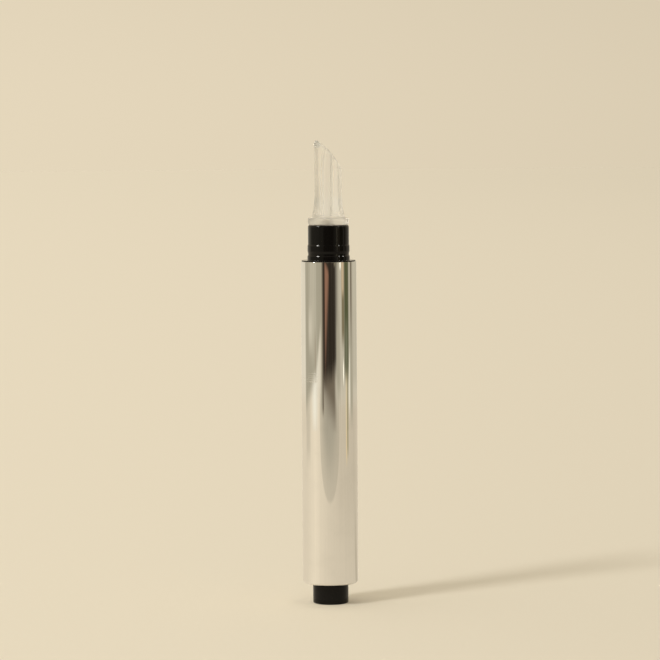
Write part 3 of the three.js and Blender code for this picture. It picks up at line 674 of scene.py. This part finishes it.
class PEN_OT_tip(PenOperator, bpy.types.Operator):
    """Make the clear silicone tip with its slanted face, feed channel and outlet"""

    bl_idname = "pen.tip"
    bl_label = "Applicator Tip"

    nose_height = 20.3 * MM
    nose_rounding = 1.0 * MM
    shoulder_rounding = 0.5 * MM
    channel_x = -0.3 * MM
    bore_x = 0.2 * MM
    outlet_x = 0.55 * MM
    outlet_half_size = (1.4 * MM, 1.0 * MM, 0.45 * MM)

    def face_height(self, x):
        """Height of the slanted, crowned face, before its edge is rounded."""
        sizes = self.sizes
        nose = HOLDER_HIGH.z + self.nose_height
        across = (x + sizes.tip_radius - sizes.edge_width) / (2 * sizes.tip_radius - sizes.edge_width)
        return nose - sizes.face_drop * across + 4 * sizes.face_crown * across * (1 - across)

    def face_fall(self, x):
        """How steeply the face falls there."""
        step = 0.1 * MM
        return (self.face_height(x - step) - self.face_height(x + step)) / (2 * step)

    def face_ring(self, inset, lip):
        """A ring of the face; lip is 1 at the wall and 0 where the soft edge ends."""
        ring = ring_points(self.sizes.tip_radius - inset, 0.0, TURNED_SIDES)
        for point in ring:
            side = (1 + point.x / max(point.xy.length, TINY)) / 2
            rounding = between(self.nose_rounding, self.shoulder_rounding, side)
            point.z = self.face_height(point.x) - rounding * (1 - math.sqrt(1 - lip * lip))
        return ring

    def outside(self):
        sizes = self.sizes
        stem = 2.65 * MM
        lead_in = 0.3 * MM
        flange = TIP_HIGH.x
        chamfer = 0.15 * MM
        flange_foot = HOLDER_HIGH.z - 0.01 * MM
        flange_top = HOLDER_HIGH.z + 1.6 * MM
        flare_steps = 18
        flare = []
        # The fillet at the flare's foot takes the place of its first step
        for step in range(2, flare_steps + 1):
            rise = step / flare_steps
            radius = between(sizes.flare_radius, sizes.tip_radius, 1 - (1 - rise) ** 2)
            flare.append((radius, flange_top + rise * sizes.flare_height))
        rings = [ring_points(radius, height, TURNED_SIDES) for radius, height in rounded([
            (0, TIP_LOW.z),
            (stem, TIP_LOW.z, lead_in),
            (stem, flange_foot),
            (flange, flange_foot, chamfer),
            (flange, flange_top, chamfer),
            (sizes.flare_radius, flange_top, 0.35 * MM),
            *flare,
        ])[1:]]
        edge_steps = 12
        for step in range(edge_steps + 1):
            lip = math.cos(math.pi / 2 * step / edge_steps)
            rings.append(self.face_ring(sizes.edge_width * (1 - lip), lip))
        face_steps = 12
        for step in range(1, face_steps):
            inset = between(sizes.edge_width, sizes.tip_radius, step / face_steps)
            rings.append(self.face_ring(inset, 0.0))
        rings.append([Vector((0, 0, self.face_height(0.0)))])
        outlet = Vector((self.outlet_x, 0, self.face_height(self.outlet_x)))
        fall = self.face_fall(self.outlet_x)
        return skin("tip", rings, clear_silicone(self.finishes, outlet, fall, self.channel_x))

    def channel(self):
        nose = HOLDER_HIGH.z + self.nose_height
        route = [
            Vector((self.channel_x, 0, TUBE_HIGH.z - 1 * MM)),
            Vector((self.channel_x, 0, nose - 11 * MM)),
            Vector((self.channel_x, 0, nose - 7 * MM)),
            Vector((self.channel_x / 2, 0, nose - 4.6 * MM)),
            Vector((self.bore_x, 0, self.face_height(self.bore_x))),
            Vector((self.bore_x, 0, self.face_height(self.bore_x) + 1 * MM)),
        ]
        return swept("channel_tool", smooth_path(route, steps=12), self.sizes.channel_radius, sides=48)

    def outlet_dish(self):
        """A flat egg that presses the oval outlet into the face."""
        mesh = bmesh.new()
        bmesh.ops.create_uvsphere(mesh, u_segments=64, v_segments=32, radius=1.0)
        place = Matrix.Translation((self.outlet_x, 0, self.face_height(self.outlet_x)))
        tilt = Matrix.Rotation(math.atan(self.face_fall(self.outlet_x)), 4, "Y")
        shape = Matrix.Diagonal((*self.outlet_half_size, 1.0))
        bmesh.ops.transform(mesh, matrix=place @ tilt @ shape, verts=mesh.verts)
        return piece_from("dish_tool", mesh, None)

    def execute(self, context):
        radius = 1.2 * MM
        foot = TIP_LOW.z - 1 * MM
        top = TUBE_HIGH.z + 0.1 * MM
        tube_seat = turned("seat_tool", [(0, foot), (radius, foot), (radius, top), (0, top)], sides=64)
        tip = carve(self.outside(), [tube_seat, self.channel(), self.outlet_dish()])
        seat(tip, "barrel", "clear_silicone", "applicator_tip")
        return {"FINISHED"}


class PEN_OT_button(PenOperator, bpy.types.Operator):
    """Make the push button: a closed cup with keys and a cam collar"""

    bl_idname = "pen.button"
    bl_label = "Push Button"

    lobe_half_angle = math.radians(20)
    lobe_root = 2.65 * MM
    lobes = 3
    arc_steps = 8
    helix_lead = 20 * MM
    drive_foot = 8.5 * MM
    groove_tip = 3.53 * MM
    cam_play = 0.18 * MM
    key_count = 3

    def groove_ring(self, tip, root, height):
        """Outline of the lobed cutter at one height, turned along its helix."""
        phase = math.tau * (height - self.drive_foot) / self.helix_lead
        half = self.lobe_half_angle + (root - self.lobe_root) / self.lobe_root
        pitch = math.tau / self.lobes
        ring = []
        for lobe in range(self.lobes):
            for radius, start, end in ((tip, -half, half), (root, half, pitch - half)):
                for step in range(self.arc_steps):
                    turn = phase + lobe * pitch + between(start, end, step / (self.arc_steps - 1))
                    ring.append(polar(radius, turn, height))
        return ring

    def execute(self, context):
        sizes = self.sizes
        radius = sizes.button_radius
        top = BUTTON_HIGH.z
        flange = 5.15 * MM
        flange_foot = HOUSING_LOW.z + 0.05 * MM
        flange_top = 7.6 * MM
        cam_foot = 9 * MM
        cam_bore = self.lobe_root + self.cam_play
        cavity = 3.5 * MM
        floor = 1.2 * MM
        button = turned("button", [
            (0, BUTTON_LOW.z),
            (radius, BUTTON_LOW.z, sizes.button_rounding),
            (radius, flange_foot),
            (flange, flange_foot, 0.1 * MM),
            (flange, flange_top, 0.15 * MM),
            (radius, flange_top),
            (radius, top, 0.15 * MM),
            (cam_bore, top),
            (cam_bore, cam_foot),
            (cavity, cam_foot - (cavity - cam_bore)),
            (cavity, floor, 0.3 * MM),
            (0, floor),
        ], black_gloss(self.finishes))
        key_radius = 5.65 * MM
        key_width = 1.4 * MM
        keys = []
        shape = Matrix.Diagonal((key_radius - radius, key_width, flange_top - flange_foot, 1.0))
        place = Matrix.Translation(((key_radius + radius) / 2, 0, (flange_top + flange_foot) / 2))
        for turn in around_circle(self.key_count):
            mesh = bmesh.new()
            bmesh.ops.create_cube(mesh, size=1.0)
            around = Matrix.Rotation(turn, 4, "Z")
            bmesh.ops.transform(mesh, matrix=around @ place @ shape, verts=mesh.verts)
            bmesh.ops.bevel(mesh, geom=mesh.edges, offset=0.08 * MM, segments=2, affect="EDGES")
            keys.append(piece_from("key_tool", mesh, None))
        carve(button, keys, "UNION")
        steps = 28
        heights = [between(cam_foot - 1 * MM, top + 1 * MM, step / steps) for step in range(steps + 1)]
        rings = [self.groove_ring(self.groove_tip, cam_bore, height) for height in heights]
        carve(button, [skin("groove_tool", rings)])
        seat(button, "button", "black_plastic", "click_button")
        return {"FINISHED"}


class PEN_OT_rod(PenOperator, bpy.types.Operator):
    """Make the feed rod and the thread that it runs in"""

    bl_idname = "pen.rod"
    bl_label = "Feed Rod and Thread"

    rod_radius = 1.8 * MM
    flat = 1.25 * MM
    play = 0.08 * MM
    flank_slope = 3.2
    flank_start = 1.1
    run_out = 1 * MM
    sides = 96
    steps_per_turn = 10

    def thread(self, turn, height):
        """Depth of the right-hand thread at an angle and height, from 0 at its crest to 1 at its root."""
        phase = (height / self.sizes.thread_pitch - turn / math.tau) % 1.0
        return min(1.0, max(0.0, self.flank_slope * abs(2 * phase - 1) - self.flank_start))

    def thread_ring(self, crest, height, lead=1.0, fade=1.0):
        """A ring of the thread: a low lead sinks it to its root, a low fade fills it to its crest."""
        ring = []
        for turn in around_circle(self.sides):
            depth = 1 - lead * (1 - fade * self.thread(turn, height))
            ring.append(polar(crest - self.sizes.thread_depth * depth, turn, height))
        return ring

    def execute(self, context):
        neck_foot = 40 * MM
        finish = moulded_plastic("white_plastic", self.finishes.white, 0.42)
        steps = int((neck_foot - ROD_LOW.z) / self.sizes.thread_pitch * self.steps_per_turn)
        rings = []
        for step in range(steps + 1):
            height = between(ROD_LOW.z, neck_foot, step / steps)
            lead = min(1.0, (height - ROD_LOW.z) / self.run_out)
            fade = min(1.0, (neck_foot - height) / self.run_out)
            ring = self.thread_ring(self.rod_radius, height, lead, fade)
            for point in ring:
                point.y = min(self.flat, max(-self.flat, point.y))
            rings.append(ring)
        neck = 1.1 * MM
        head = 1.7 * MM
        top = ROD_HIGH.z
        for radius, height in rounded([
            (0, neck_foot),
            (neck, neck_foot, 0.05 * MM),
            (neck, top - 1.6 * MM, 0.1 * MM),
            (head, top - 1.4 * MM, 0.2 * MM),
            (head, top - 0.6 * MM, 0.2 * MM),
            (neck, top, 0.2 * MM),
        ])[1:]:
            rings.append(ring_points(radius, height, self.sides))
        seat(skin("rod", rings, finish), "rod", "white_plastic", "feed_rod")
        self.nut_thread()
        return {"FINISHED"}

    def nut_thread(self):
        """The thread inside the ratchet nut, which the rod's thread runs in."""
        bore = 1.9 * MM
        inset = 0.05 * MM
        low = NUT_LOW.z + inset
        high = NUT_HIGH.z - inset
        steps = int((high - low) / self.sizes.thread_pitch * self.steps_per_turn)
        heights = [between(low, high, step / steps) for step in range(steps + 1)]
        inside = [self.thread_ring(self.rod_radius + self.play, height) for height in heights]
        outside = [ring_points(bore, height, self.sides) for height in reversed(heights)]
        finish = moulded_plastic("grey_thread", self.finishes.grey, 0.42)
        seat(skin("nut_thread", inside + outside, finish, closed=True), "nut", "grey_plastic")


class PEN_OT_spring(PenOperator, bpy.types.Operator):
    """Make the return spring as it stands at rest, before the button is pressed"""

    bl_idname = "pen.spring"
    bl_label = "Return Spring"

    turns = 7
    end_pitch = 0.95 * MM
    press_travel = 2.5 * MM
    steps_per_turn = 64
    wire_sides = 16

    def execute(self, context):
        wire = self.sizes.wire_diameter
        radius = SPRING_HIGH.x - wire / 2
        height = SPRING_HIGH.z - SPRING_LOW.z
        inner_pitch = (height - wire - 2 * self.end_pitch) / (self.turns - 2)
        path = []
        for step in range(self.turns * self.steps_per_turn + 1):
            turn = step / self.steps_per_turn
            middle = min(max(turn - 1, 0), self.turns - 2)
            rise = wire / 2 + self.end_pitch * (turn - middle) + inner_pitch * middle
            path.append(polar(radius, math.tau * turn, SPRING_LOW.z + rise))
        upward = Vector((0, 0, 1))
        rings = []
        for centre in path:
            outward = Vector((centre.x, centre.y, 0)).normalized()
            rings.append(hoop(centre, outward, upward, wire / 2, self.wire_sides))
        spring = skin("spring", rings, drawn_steel(self.finishes))
        seat(spring, "barrel", "spring_steel", "return_spring")
        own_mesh(spring)
        return {"FINISHED"}


class PEN_OT_gloss(PenOperator, bpy.types.Operator):
    """Make the gloss as it stands before the piston rises"""

    bl_idname = "pen.gloss"
    bl_label = "Gloss"

    stroke = 25 * MM
    last_film = 0.02

    def execute(self, context):
        radius = GLOSS_HIGH.x
        low = GLOSS_LOW.z
        top = GLOSS_HIGH.z
        cone_top = 1.2 * MM
        cone_foot = 4.4 * MM
        cone_height = 1.2 * MM
        gloss = turned("gloss_charge", [
            (0, low + cone_height),
            (cone_top, low + cone_height, 0.3 * MM),
            (cone_foot, low, 0.3 * MM),
            (radius, low, 0.1 * MM),
            (radius, top, 0.4 * MM),
            (0, top),
        ], tinted_gloss(self.finishes))
        seat(gloss, "barrel", "gloss", "gloss_fill")
        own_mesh(gloss)
        return {"FINISHED"}


class PEN_OT_mechanism(PenOperator, bpy.types.Operator):
    """Make the inner mouldings from their solids, with softened edges"""

    bl_idname = "pen.mechanism"
    bl_label = "Inner Mouldings"

    softening = 0.04 * MM
    weld = 0.0005 * MM
    flatness = math.radians(0.5)

    def moulding(self, node, finish):
        """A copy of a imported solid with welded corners, softened edges and smooth shading."""
        mesh = bmesh.new()
        mesh.from_mesh(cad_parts[node].data)
        bmesh.ops.remove_doubles(mesh, verts=mesh.verts, dist=self.weld)
        bmesh.ops.dissolve_limit(mesh, angle_limit=self.flatness, verts=mesh.verts, edges=mesh.edges)
        sharp = [edge for edge in mesh.edges if edge.is_manifold and edge.calc_face_angle() > SHARP_ANGLE]
        bmesh.ops.bevel(
            mesh, geom=sharp, offset=self.softening, segments=2, affect="EDGES", clamp_overlap=True
        )
        return piece_from(node + "_moulding", mesh, finish)

    def execute(self, context):
        finishes = self.finishes
        natural = moulded_plastic("natural_moulding", finishes.natural, 0.4, 0.25)
        clear = moulded_plastic("clear_moulding", finishes.silicone, 0.2, 0.95)
        white = moulded_plastic("white_moulding", finishes.white, 0.42)
        grey = moulded_plastic("grey_moulding", finishes.grey, 0.42)
        soft = moulded_plastic("soft_moulding", finishes.soft, 0.55)
        for node, body, finish, slot in (
            ("mechanism_housing", "barrel", natural, "natural_plastic"),
            ("cartridge", "barrel", natural, "natural_plastic"),
            ("feed_tube", "barrel", clear, "natural_plastic"),
            ("check_pawl_ring", "barrel", white, "white_plastic"),
            ("drive_sleeve", "driver", white, "white_plastic"),
            ("ratchet_nut", "nut", grey, "grey_plastic"),
            ("rod_guide", "barrel", grey, "grey_plastic"),
            ("piston", "rod", soft, "soft_plastic"),
        ):
            seat(self.moulding(node, finish), body, slot, node)
        return {"FINISHED"}


class PEN_OT_stage(bpy.types.Operator):
    """Set the paper floor, the studio walls, the lamps and the camera"""

    bl_idname = "pen.stage"
    bl_label = "Studio and Camera"
    bl_options = {"REGISTER", "UNDO"}

    floor_radius = 6.0
    wall_radius = 0.42
    wall_height = 0.5
    glow_hole = 0.009
    glow_lift = 0.3 * MM
    grey_disc_radius = 0.392
    grey_disc_middle = 0.59

    def hidden_from_camera(self, card):
        """Leave a card to what metal mirrors and clear pieces show."""
        card.visible_camera = False
        card.visible_diffuse = False
        card.visible_shadow = False
        card.visible_volume_scatter = False
        return card

    def lean(self, nodes, across, ahead):
        """How the paper's light falls off from the left of the view to the right, from 0 to 1."""
        depth = nodes.node("ShaderNodeMath", {"operation": "ABSOLUTE"}, {0: ahead})
        return nodes.smooth(nodes.arc(across, depth), -10, 14)

    def reach(self, nodes):
        """Distance from the pen's foot."""
        settings = {"operation": "LENGTH"}
        return nodes.node("ShaderNodeVectorMath", settings, {0: nodes.place()}, output="Value")

    def floor(self, stage):
        """Paper with painted light: lighter to the left, duller to the right and far off, lighter by the
        button's foot.
        """
        material, nodes = new_finish("paper")
        fibre = nodes.noise(nodes.place(), 900.0, 4.0)
        # Painted light: the paper's colour falls off from left to right and with distance, as lamplight
        # would
        depth = nodes.along("Y") + stage.camera_distance
        lean = self.lean(nodes, nodes.along("X"), depth)
        paper = nodes.mix(lean, toned(stage.paper, 1.071), toned(stage.paper, 0.964))
        far = nodes.mix(lean, toned(stage.paper, 1.056), toned(stage.paper, 0.901))
        paper = nodes.mix(nodes.smooth(depth, stage.camera_distance, self.floor_radius), paper, far)
        # Painted light: paper 15% lighter within 4 to 9 mm of the foot lifts the contact shadow there
        painted_light_near_foot = 1 - nodes.smooth(self.reach(nodes), 4 * MM, 9 * MM)
        paper = nodes.mix(painted_light_near_foot, paper, nodes.mix(1.0, paper, (1.15, 1.15, 1.15, 1.0), "MULTIPLY"))
        nodes.surface({
            "Base Color": nodes.mix(0.03 * fibre, paper, (0.0, 0.0, 0.0, 1.0)),
            "Roughness": 0.9 + 0.05 * fibre,
            "Specular IOR Level": 0.0,
        })
        mesh = bmesh.new()
        bmesh.ops.create_circle(mesh, cap_ends=True, segments=96, radius=self.floor_radius)
        piece_from("floor", mesh, material)

    def glowing(self, name, tone_of, strength=1.0):
        """A card's finish: a glow whose tone comes from its nodes."""
        material, nodes = new_finish(name)
        glow = nodes.node("ShaderNodeEmission", None, {"Color": tone_of(nodes), "Strength": strength})
        nodes.node("ShaderNodeOutputMaterial", None, {"Surface": glow})
        return material

    def painted_floor_reflection(self, nodes):
        """Glowing card, painted reflection of the floor: painted light bright left and dull right, a grey
        disc in front.
        """
        red, green, blue = bpy.context.scene.pen_stage.paper
        paper = (red, 1.01 * green, 1.045 * blue)
        turn = nodes.arc(nodes.along("X"), -1 * nodes.along("Y"))
        # Painted light: the floor's brightness round the pen, falling off from the left to the right
        levels = (
            (-180, 0.985), (-106, 1.03), (-62, 1.17), (-38, 1.05),
            (3, 0.955), (53, 0.915), (119, 0.865), (180, 0.985),
        )
        grey_disc = (0.45, 0.405, 0.31, 1.0)
        dim = (0.3, 0.25, 0.18, 1.0)
        ramp = [((degrees + 180) / 360, toned(paper, level)[:3]) for degrees, level in levels]
        tone = nodes.node("ShaderNodeValToRGB", {"stops": ramp}, {"Fac": turn / 360 + 0.5})
        middle = nodes.node("ShaderNodeVectorMath", {"operation": "DISTANCE"}, {
            0: nodes.place(), 1: (0, -self.grey_disc_middle, 0)
        }, output="Value")
        rim = 1 - nodes.smooth(middle, self.grey_disc_radius - 0.015, self.grey_disc_radius)
        core = 1 - nodes.smooth(middle, self.grey_disc_radius - 0.2, self.grey_disc_radius)
        tone = nodes.mix(0.45 * rim + 0.55 * core, tone, grey_disc)
        reach = self.reach(nodes)
        # Painted shade: darker far off to the right
        far = nodes.smooth(turn, 0, 50) * nodes.smooth(reach, 0.06, 0.26)
        tone = nodes.mix(0.15 * far, tone, dim)
        haze = nodes.band(turn, -112, -88, 8) * nodes.smooth(reach, 0.28, 0.38)
        tone = nodes.mix(0.4 * haze, tone, grey_disc)
        # Painted shadow: the pen's own shadow on the floor beside its foot
        shade = nodes.band(turn, 121, 139, 7) * (1 - nodes.smooth(reach, 0.05, 0.25))
        tone = nodes.mix(0.4 * shade, tone, dim)
        golden = nodes.band(turn, 71, 77, 2) * nodes.smooth(reach, 0.29, 0.34)
        tone = nodes.mix(golden, tone, (0.77, 0.62, 0.38, 1.0))
        dull = nodes.band(turn, 78, 83, 2) * nodes.smooth(reach, 0.31, 0.37)
        return nodes.mix(dull, tone, (0.36, 0.31, 0.18, 1.0))

    def painted_studio_reflection(self, nodes):
        """Painted reflections on the studio's glowing cards: dark behind the camera, silver to the left,
        strips to the right.
        """
        turn = nodes.arc(nodes.along("X"), -1 * nodes.along("Y"))
        height = nodes.along("Z") / MM
        pale = (0.82, 0.75, 0.60)
        white = (0.95, 0.90, 0.75)
        light = (0.57, 0.52, 0.40)
        silver = (0.44, 0.40, 0.30)
        grey = (0.185, 0.15, 0.105)
        dark = (0.03, 0.023, 0.016)
        brown = (0.31, 0.16, 0.10)
        bronze = (0.22, 0.18, 0.10)
        tan = (0.62, 0.48, 0.305)
        glare = (4.6, 4.0, 2.5)
        veil = (0.80, 0.695, 0.515)
        olive = (0.10, 0.105, 0.05)
        golden = (0.76, 0.64, 0.42)
        dull = (0.36, 0.31, 0.18)
        # First and last angle and their softness in degrees, foot and fade in mm, slant in mm a degree, tone
        cards = (
            (-190, 190, 5, 14, 8, 0, pale),
            (-74, -52, 10, 2, 8, 0, white),
            (25, 165, 12, 14, 8, 0, light),
            (-114, -55, 4, 36, 5, 0.25, silver),
            (-90, -58, 10, 30, 10, 0, light),
            (-55, -27, 2, 69, 5, 0.85, silver),
            (-35, -26, 4, 8, 3, 0, silver),
            (-29, -23, 2.5, 7, 2.5, 0, grey),
            (-26, 25, 7, 8.5, 8, -0.2, grey),
            (-24.8, 12, 3, 21, 5.5, 0.09, dark),
            (2, 33, 13, 21, 5.5, 0.09, dark),
            (-16.5, 1, 2.5, 60, 14, 2, brown),
            (-20, 4, 3, 60, 2, -0.25, dark),
            (54, 66, 4, 34, 5, 0, bronze),
            (54, 64, 2, 52, 3, 0, tan),
            (71, 77, 2, -2, 1, 0, golden),
            (78, 83, 2, -2, 1, 0, dull),
            (66, 88, 4, 22, 5, 0, olive),
            (98, 113, 5, 5, 7, 0, silver),
            (99, 108, 3.5, 40, 14, 0, grey),
            # Painted highlight: a glare strip brighter than white
            (46.9, 49.2, 0.8, 69, 2, 0, glare),
            (112, 190, 8, 86, 3, 0, veil),
            (-190, -60, 10, 86, 3, 0, veil),
        )
        tone = self.painted_floor_reflection(nodes)
        for first, last, soft, foot, fade, slant, tint in cards:
            lift = nodes.smooth(height - slant * turn, foot - fade, foot + fade)
            tone = nodes.mix(nodes.band(turn, first, last, soft) * lift, tone, opaque(tint))
        upright = nodes.node("ShaderNodeCombineXYZ", None, {0: 0.4 * turn, 1: 0.01 * height})
        streaks = nodes.noise(upright, 1.0, 4.0)
        tone = nodes.mix(0.25 * nodes.smooth(streaks, 0.5, 0.7), tone, opaque(grey))
        # Painted highlights: the two spots brighter than white
        # First and last angle and their softness in degrees, low and high end and their fade in mm, tone
        spots = (
            (59, 63, 1.2, 19, 26, 3, (1.4, 1.33, 1.1)),
            (70, 82, 4, 22, 40, 6, (0.19, 0.19, 0.12)),
            (-93, -75, 6, 33, 45, 6, (0.66, 0.6, 0.47)),
            (89.5, 95, 2, 8, 29, 5, (0.9, 0.84, 0.67)),
            (31, 44, 5, 14, 42, 8, silver),
            (-62, -57, 2.5, 22, 37, 5, (0.40, 0.34, 0.25)),
            (45, 51, 1.5, 61.5, 67, 1, (1.2, 1.14, 0.96)),
            (21, 29, 3, 62.5, 68, 1, (0.22, 0.19, 0.13)),
        )
        for first, last, soft, low, high, fade, tint in spots:
            spot = nodes.band(turn, first, last, soft) * nodes.band(height, low, high, fade)
            tone = nodes.mix(spot, tone, opaque(tint))
        return tone

    def walls(self):
        # Glowing cards, no lamps: painted reflections for the metal and the silicone
        sides = 180
        rings = [ring_points(self.wall_radius, height, sides) for height in (0.0, self.wall_height)]
        self.card("studio_walls", rings, self.glowing("painted_studio_reflection_tones", self.painted_studio_reflection))
        rings = [ring_points(radius, self.glow_lift, sides) for radius in (self.glow_hole, self.wall_radius)]
        glow = self.card("floor_glow", rings, self.glowing("painted_floor_reflection_tones", self.painted_floor_reflection))
        glow.visible_transmission = False

    def card(self, name, rings, material):
        """A glowing band between two rings, hidden from the camera."""
        mesh = bmesh.new()
        low, high = ([mesh.verts.new(point) for point in ring] for ring in rings)
        bridge(mesh, low, high)
        return self.hidden_from_camera(piece_from(name, mesh, material))

    def direction(self, height, side):
        """The way to a lamp at a height above the horizon, to the left of the camera's side."""
        level = math.cos(height)
        return Vector((-level * math.sin(side), -level * math.cos(side), math.sin(height)))

    def highlight_cards(self, stage):
        """Small bright glowing cards to the left and right, seen only in reflections: painted highlights on
        the edges of the black plastic.
        """
        tone = self.glowing("highlight_card_tone", lambda nodes: nodes.mix(
            nodes.noise(nodes.place(), 30.0), (1.0, 0.97, 0.9, 1.0), (0.95, 0.92, 0.85, 1.0)
        ), stage.highlight_card_strength)
        small = 0.42 * stage.highlight_card_radius
        for height, side, radius in (
            (stage.highlight_card_height, stage.highlight_card_side, stage.highlight_card_radius),
            (math.radians(38), math.radians(-70), small),
            (math.radians(33), math.radians(-98), small),
        ):
            towards = self.direction(height, side)
            place = Matrix.Translation(Vector((0, 0, HOLDER_HIGH.z)) + self.wall_radius * towards)
            turn = towards.to_track_quat("Z", "Y").to_matrix().to_4x4()
            mesh = bmesh.new()
            bmesh.ops.create_circle(mesh, cap_ends=True, segments=48, radius=radius)
            bmesh.ops.transform(mesh, matrix=place @ turn, verts=mesh.verts)
            self.hidden_from_camera(piece_from("highlight_card", mesh, tone))

    def world(self, context, stage):
        """A pale backdrop to the eye, in metal and through glass, with painted light lighter left and duller
        right; soft light elsewhere, stronger from the left.
        """
        world = bpy.data.worlds.new("studio")
        context.scene.world = world
        world.use_nodes = True
        nodes = Nodes(world.node_tree)
        seen = nodes.node("ShaderNodeLightPath", output="Is Camera Ray")
        seen = seen + nodes.node("ShaderNodeLightPath", output="Is Glossy Ray")
        seen = seen + nodes.node("ShaderNodeLightPath", output="Is Transmission Ray")
        place = nodes.node("ShaderNodeTexCoord", output="Generated")
        across, ahead, up = (
            nodes.node("ShaderNodeSeparateXYZ", None, {0: place}, output=axis) for axis in ("X", "Y", "Z")
        )
        soft = 1 - stage.key_share
        ambient = (soft * 1.025, soft, soft * 0.96)
        ambient = nodes.mix(nodes.smooth(across, -1.0, 1.0), toned(ambient, 1.3), toned(ambient, 0.7))
        # Painted light: the backdrop is lighter to the left and duller to the right
        lean = self.lean(nodes, across, ahead)
        paper = nodes.mix(lean, toned(stage.paper, 1.03), toned(stage.paper, 0.888))
        paper = nodes.mix(nodes.smooth(up, 0.0, 0.06), paper, (0.97, 0.97, 0.97, 1.0), "MULTIPLY")
        tone = nodes.mix(nodes.smooth(seen, 0.0, 1.0), ambient, paper)
        backdrop = nodes.node("ShaderNodeBackground", None, {"Color": tone, "Strength": 1.0})
        nodes.node("ShaderNodeOutputWorld", None, {"Surface": backdrop})

    def key_lamp(self, stage):
        lamp = bpy.data.lights.new("key", "SUN")
        lamp.energy = stage.key_share * math.pi / math.sin(stage.key_height)
        lamp.angle = stage.key_size
        lamp.color = (0.93, 1.0, 1.12)
        key = bpy.data.objects.new("key", lamp)
        towards = self.direction(stage.key_height, stage.key_side)
        key.rotation_euler = towards.to_track_quat("Z", "Y").to_euler()
        key.visible_glossy = False
        bpy.context.scene.collection.objects.link(key)

    def camera(self, context, stage):
        lens = bpy.data.cameras.new("camera")
        lens.angle = stage.camera_view
        lens.clip_start = 0.01
        lens.clip_end = 50.0
        camera = bpy.data.objects.new("camera", lens)
        place = Matrix.Translation((stage.camera_offset, -stage.camera_distance, stage.camera_height))
        tilt = Matrix.Rotation(math.pi / 2 - stage.camera_pitch, 4, "X")
        roll = Matrix.Rotation(-stage.camera_roll, 4, "Z")
        camera.matrix_world = place @ tilt @ roll
        context.scene.collection.objects.link(camera)
        context.scene.camera = camera

    def execute(self, context):
        stage = context.scene.pen_stage
        context.scene.view_settings.view_transform = "Standard"
        self.floor(stage)
        self.walls()
        self.highlight_cards(stage)
        self.world(context, stage)
        self.key_lamp(stage)
        self.camera(context, stage)
        return {"FINISHED"}


class PEN_PT_panel(bpy.types.Panel):
    """Lists the pen's pieces and settings"""

    bl_idname = "PEN_PT_panel"
    bl_label = "Lip Gloss Pen"
    bl_space_type = "VIEW_3D"
    bl_region_type = "UI"
    bl_category = "Lip Gloss"

    def draw(self, context):
        for operator in OPERATORS:
            self.layout.operator(operator.bl_idname)
        for group in (context.scene.pen_sizes, context.scene.pen_finishes, context.scene.pen_stage):
            box = self.layout.box()
            for name in group.__annotations__:
                box.prop(group, name)


OPERATORS = (
    PEN_OT_barrel,
    PEN_OT_holder,
    PEN_OT_tip,
    PEN_OT_button,
    PEN_OT_rod,
    PEN_OT_spring,
    PEN_OT_gloss,
    PEN_OT_mechanism,
    PEN_OT_stage,
)
GROUPS = {"pen_sizes": PenSizes, "pen_finishes": PenFinishes, "pen_stage": PenStage}


def register():
    for group in GROUPS.values():
        bpy.utils.register_class(group)
    for name, group in GROUPS.items():
        setattr(bpy.types.Scene, name, PointerProperty(type=group))
    for item in (*OPERATORS, PEN_PT_panel):
        bpy.utils.register_class(item)


def unregister():
    for item in (PEN_PT_panel, *reversed(OPERATORS)):
        bpy.utils.unregister_class(item)
    for name in GROUPS:
        delattr(bpy.types.Scene, name)
    for group in GROUPS.values():
        bpy.utils.unregister_class(group)


def main():
    register()
    bpy.ops.pen.barrel()
    bpy.ops.pen.holder()
    bpy.ops.pen.tip()
    bpy.ops.pen.button()
    bpy.ops.pen.rod()
    bpy.ops.pen.spring()
    bpy.ops.pen.gloss()
    bpy.ops.pen.mechanism()
    bpy.ops.pen.stage()


if __name__ == "__main__":
    main()
